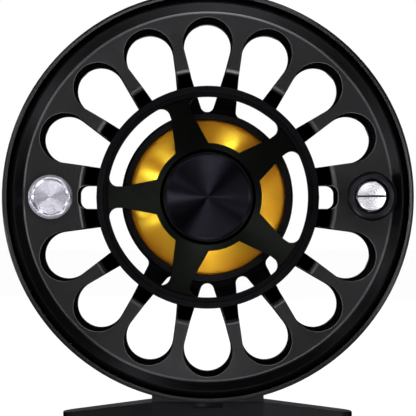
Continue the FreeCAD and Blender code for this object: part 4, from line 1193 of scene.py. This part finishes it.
@dataclass(frozen=True)
class Lamp:
    """A soft rectangular lamp, placed by its direction as seen from the reel.

    Attributes:
        name: name of the lamp.
        azimuth: its direction round the spool axis, in degrees from +X towards +Z.
        off_axis: how far it stands off the front of the spool axis, in degrees.
        across: its size across that direction.
        along: its size along that direction.
        level: how bright its face is.
        distance: how far it stands from the reel, or in front of it on the floor.
        mount: where it stands.
    """

    name: str
    azimuth: float
    off_axis: float
    across: float
    along: float
    level: float
    distance: float = 0.75
    mount: Mount = Mount.STAND

    def frame(self, centre: Vector) -> Matrix:
        """Work out where the lamp stands and how it is turned.

        Args:
            centre: the point that the lamp serves.

        Returns:
            The lamp's place and turn.
        """
        if self.mount is Mount.FLOOR:
            drop = centre.z - FLOOR_GAP
            out = drop / math.tan(math.radians(-self.azimuth))
            place = Matrix.Translation((centre.x + out, centre.y - self.distance, FLOOR_GAP))
            return place @ Matrix.Rotation(math.pi, 4, "X")
        turn, lean = math.radians(self.azimuth), math.radians(self.off_axis)
        radial = Vector((math.cos(turn), 0.0, math.sin(turn)))
        out = radial * math.sin(lean) - Vector((0.0, math.cos(lean), 0.0))
        upright = (radial - out * radial.dot(out)).normalized()
        side = upright.cross(out)
        rotation = Matrix((side, upright, out)).transposed().to_4x4()
        return Matrix.Translation(centre + out * self.distance) @ rotation

    def build(self, centre: Vector) -> None:
        """Set up the lamp.

        Args:
            centre: the point that the lamp serves.
        """
        data = bpy.data.lights.new(self.name, "AREA")
        data.shape = "RECTANGLE"
        data.size = self.across
        data.size_y = self.along
        data.energy = WATTS_PER_LEVEL * self.level * self.across * self.along
        lamp = bpy.data.objects.new(self.name, data)
        bpy.context.scene.collection.objects.link(lamp)
        lamp.matrix_world = self.frame(centre)
        lamp.visible_camera = False


@dataclass(frozen=True)
class Studio:
    """Pale floor, white surround, soft lamps and the camera.

    Attributes:
        axis: the spool's axis.
        front_y: place of the reel's front, where the camera aims.
        distance: how far the camera stands in front of it.
        lens: the camera's focal length in millimetres.
        near_clip: nearest distance that the camera draws.
        side_step: how far the camera stands to the side of the axis.
        down_step: how far it stands above the axis.
        aim_drop: how far above the axis it aims.
        floor_size: side of the floor.
        floor_white: share of the floor's white that doesn't depend on light.
        floor_paint: how pale the floor's paint is.
        front_level: how bright metal sees the floor in front of the reel.
        fade_front: where along Y that dimness ends.
        fade_rear: where along Y the floor is fully bright.
        soft_level: how bright the surround is as a light.
        dim_level: how bright metal sees the surround in front.
        dim_front: direction along Y where that dimness ends.
        dim_rear: direction along Y where the surround is fully bright.
    """

    axis: Axis
    front_y: float
    distance: float = 0.580
    lens: float = 233.0
    near_clip: float = 10.0 * MM
    side_step: float = -4.3 * MM
    down_step: float = -4.3 * MM
    aim_drop: float = -2.38 * MM
    floor_size: float = 6.0
    floor_white: float = 0.93
    floor_paint: float = 0.9
    front_level: float = 0.35
    fade_front: float = -50.0 * MM
    fade_rear: float = -10.0 * MM
    soft_level: float = 0.8
    dim_level: float = 0.03
    dim_front: float = -0.6
    dim_rear: float = 0.2

    def build(self) -> None:
        """Set up everything round the reel."""
        self.floor()
        self.surround()
        self.camera()
        centre = Vector((self.axis.x, self.front_y, self.axis.z))
        for lamp in self.lamps():
            lamp.build(centre)
        bpy.context.scene.view_settings.view_transform = "Standard"
        log.info("studio ready")

    def lamps(self) -> list[Lamp]:
        """List the lamps, placed round the front of the reel.

        Returns:
            The lamps, still to be built.
        """
        return [
            Lamp("front_lamp", 98.0, 9.5, 0.14, 0.06, 6.0),
            Lamp("upper_lamp", 108.0, 15.2, 0.12, 0.10, 6.0),
            Lamp("upper_left_lamp", 119.0, 18.0, 0.05, 0.12, 7.0),
            Lamp("upper_right_lamp", 67.0, 42.0, 0.04, 0.75, 10.0),
            Lamp("right_lamp", 2.0, 21.0, 0.045, 0.16, 40.0),
            Lamp("left_lamp", 158.0, 42.0, 0.05, 0.75, 7.0),
            Lamp("high_left_lamp", 135.0, 42.0, 0.04, 0.75, 4.0),
            Lamp("inner_left_lamp", 172.0, 32.0, 0.05, 0.10, 12.0),
            Lamp("low_left_lamp", -168.0, 0.0, 0.025, 0.30, 30.0, 0.20, Mount.FLOOR),
            Lamp("far_left_lamp", -155.0, 0.0, 0.025, 0.40, 16.0, 0.55, Mount.FLOOR),
            Lamp("low_side_lamp", -157.0, 0.0, 0.025, 0.30, 3.0, 0.20, Mount.FLOOR),
            Lamp("low_lamp", -94.0, 0.0, 0.025, 0.30, 10.0, 0.20, Mount.FLOOR),
            Lamp("low_right_lamp", -28.0, 0.0, 0.03, 0.30, 7.0, 0.20, Mount.FLOOR),
            Lamp("rear_lamp", 60.0, 145.0, 0.50, 0.50, 7.0),
            Lamp("rear_side_lamp", 175.0, 125.0, 0.30, 0.50, 6.0),
        ]

    def camera(self) -> None:
        """Look along the spool axis from the handle side, through a long lens."""
        data = bpy.data.cameras.new("reel_camera")
        data.lens = self.lens
        data.clip_start = self.near_clip
        camera = bpy.data.objects.new("reel_camera", data)
        bpy.context.scene.collection.objects.link(camera)
        camera.location = Vector((self.axis.x + self.side_step, self.front_y - self.distance,
                                  self.axis.z + self.down_step))
        aim = Vector((self.axis.x, self.front_y, self.axis.z + self.aim_drop))
        camera.rotation_euler = (aim - camera.location).to_track_quat("-Z", "Y").to_euler()
        bpy.context.scene.camera = camera

    def seen(self, sketch: Sketch) -> Socket:
        """Mark the rays that should meet plain white: the view and what metal reflects.

        Args:
            sketch: the material being wired.

        Returns:
            A socket that is 1 for those rays.
        """
        path = sketch.add("LightPath")
        mirrored = sketch.maths("ADD", path.outputs["Is Glossy Ray"], path.outputs["Is Transmission Ray"])
        return sketch.maths("ADD", path.outputs["Is Camera Ray"], mirrored, clamp=True)

    def floor(self) -> None:
        """Lay a pale floor under the foot that keeps the reel's shadow."""
        half = self.floor_size / 2
        level = CAD_BOX[0][2]
        corners = [(side * half, rise * half, level) for side, rise in ((-1, -1), (1, -1), (1, 1), (-1, 1))]
        floor = make_piece("floor", corners, [(0, 1, 2, 3)])
        sketch = Sketch(bpy.data.materials.new("floor_white"))
        paint = sketch.add("BsdfDiffuse", {"Color": opaque(WHITE, self.floor_paint)})
        place = sketch.depth(sketch.add("NewGeometry").outputs["Position"])
        fade = sketch.spread(place, self.front_level, 1.0, self.fade_front, self.fade_rear)
        eye = sketch.add("LightPath").outputs["Is Camera Ray"]
        glow = sketch.add("Emission", {"Strength": sketch.maths("MAXIMUM", fade, eye)})
        share = sketch.maths("MULTIPLY", self.seen(sketch), self.floor_white)
        floor.data.materials.append(sketch.finish(sketch.mix(share, paint, glow)))

    def surround(self) -> None:
        """Make the surround white behind the reel and to the eye, and dim in front of it."""
        world = bpy.data.worlds.new("surround")
        bpy.context.scene.world = world
        sketch = Sketch(world)
        path = sketch.add("LightPath")
        direction = sketch.depth(sketch.add("TexCoord").outputs["Generated"])
        ramp = sketch.spread(direction, self.dim_level, 1.0, self.dim_front, self.dim_rear)
        soft = sketch.add("Background", {"Color": opaque(WHITE, self.soft_level)})
        mirrored = sketch.add("Background", {"Color": opaque(WHITE), "Strength": ramp})
        white = sketch.add("Background", {"Color": opaque(WHITE)})
        lit = sketch.mix(path.outputs["Is Glossy Ray"], soft, mirrored)
        clear = sketch.maths("MAXIMUM", path.outputs["Is Camera Ray"], path.outputs["Is Transmission Ray"])
        sketch.finish(sketch.mix(clear, lit, white), "OutputWorld")


def main() -> None:
    """Dress the reel and set up the studio round it."""
    logging.basicConfig(level=logging.INFO)
    spool_axis = Axis.of("spool_cap")
    ring_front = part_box("spool_front_flange")[0].y + AIM_SETBACK
    dress_nodes()
    FrontFlange(spool_axis).build()
    HubCap(spool_axis).build()
    Counterweight(Axis.of("counterweight")).build()
    Handle(Axis.of("handle_knob")).build()
    Studio(spool_axis, ring_front).build()


if __name__ == "__main__":
    main()
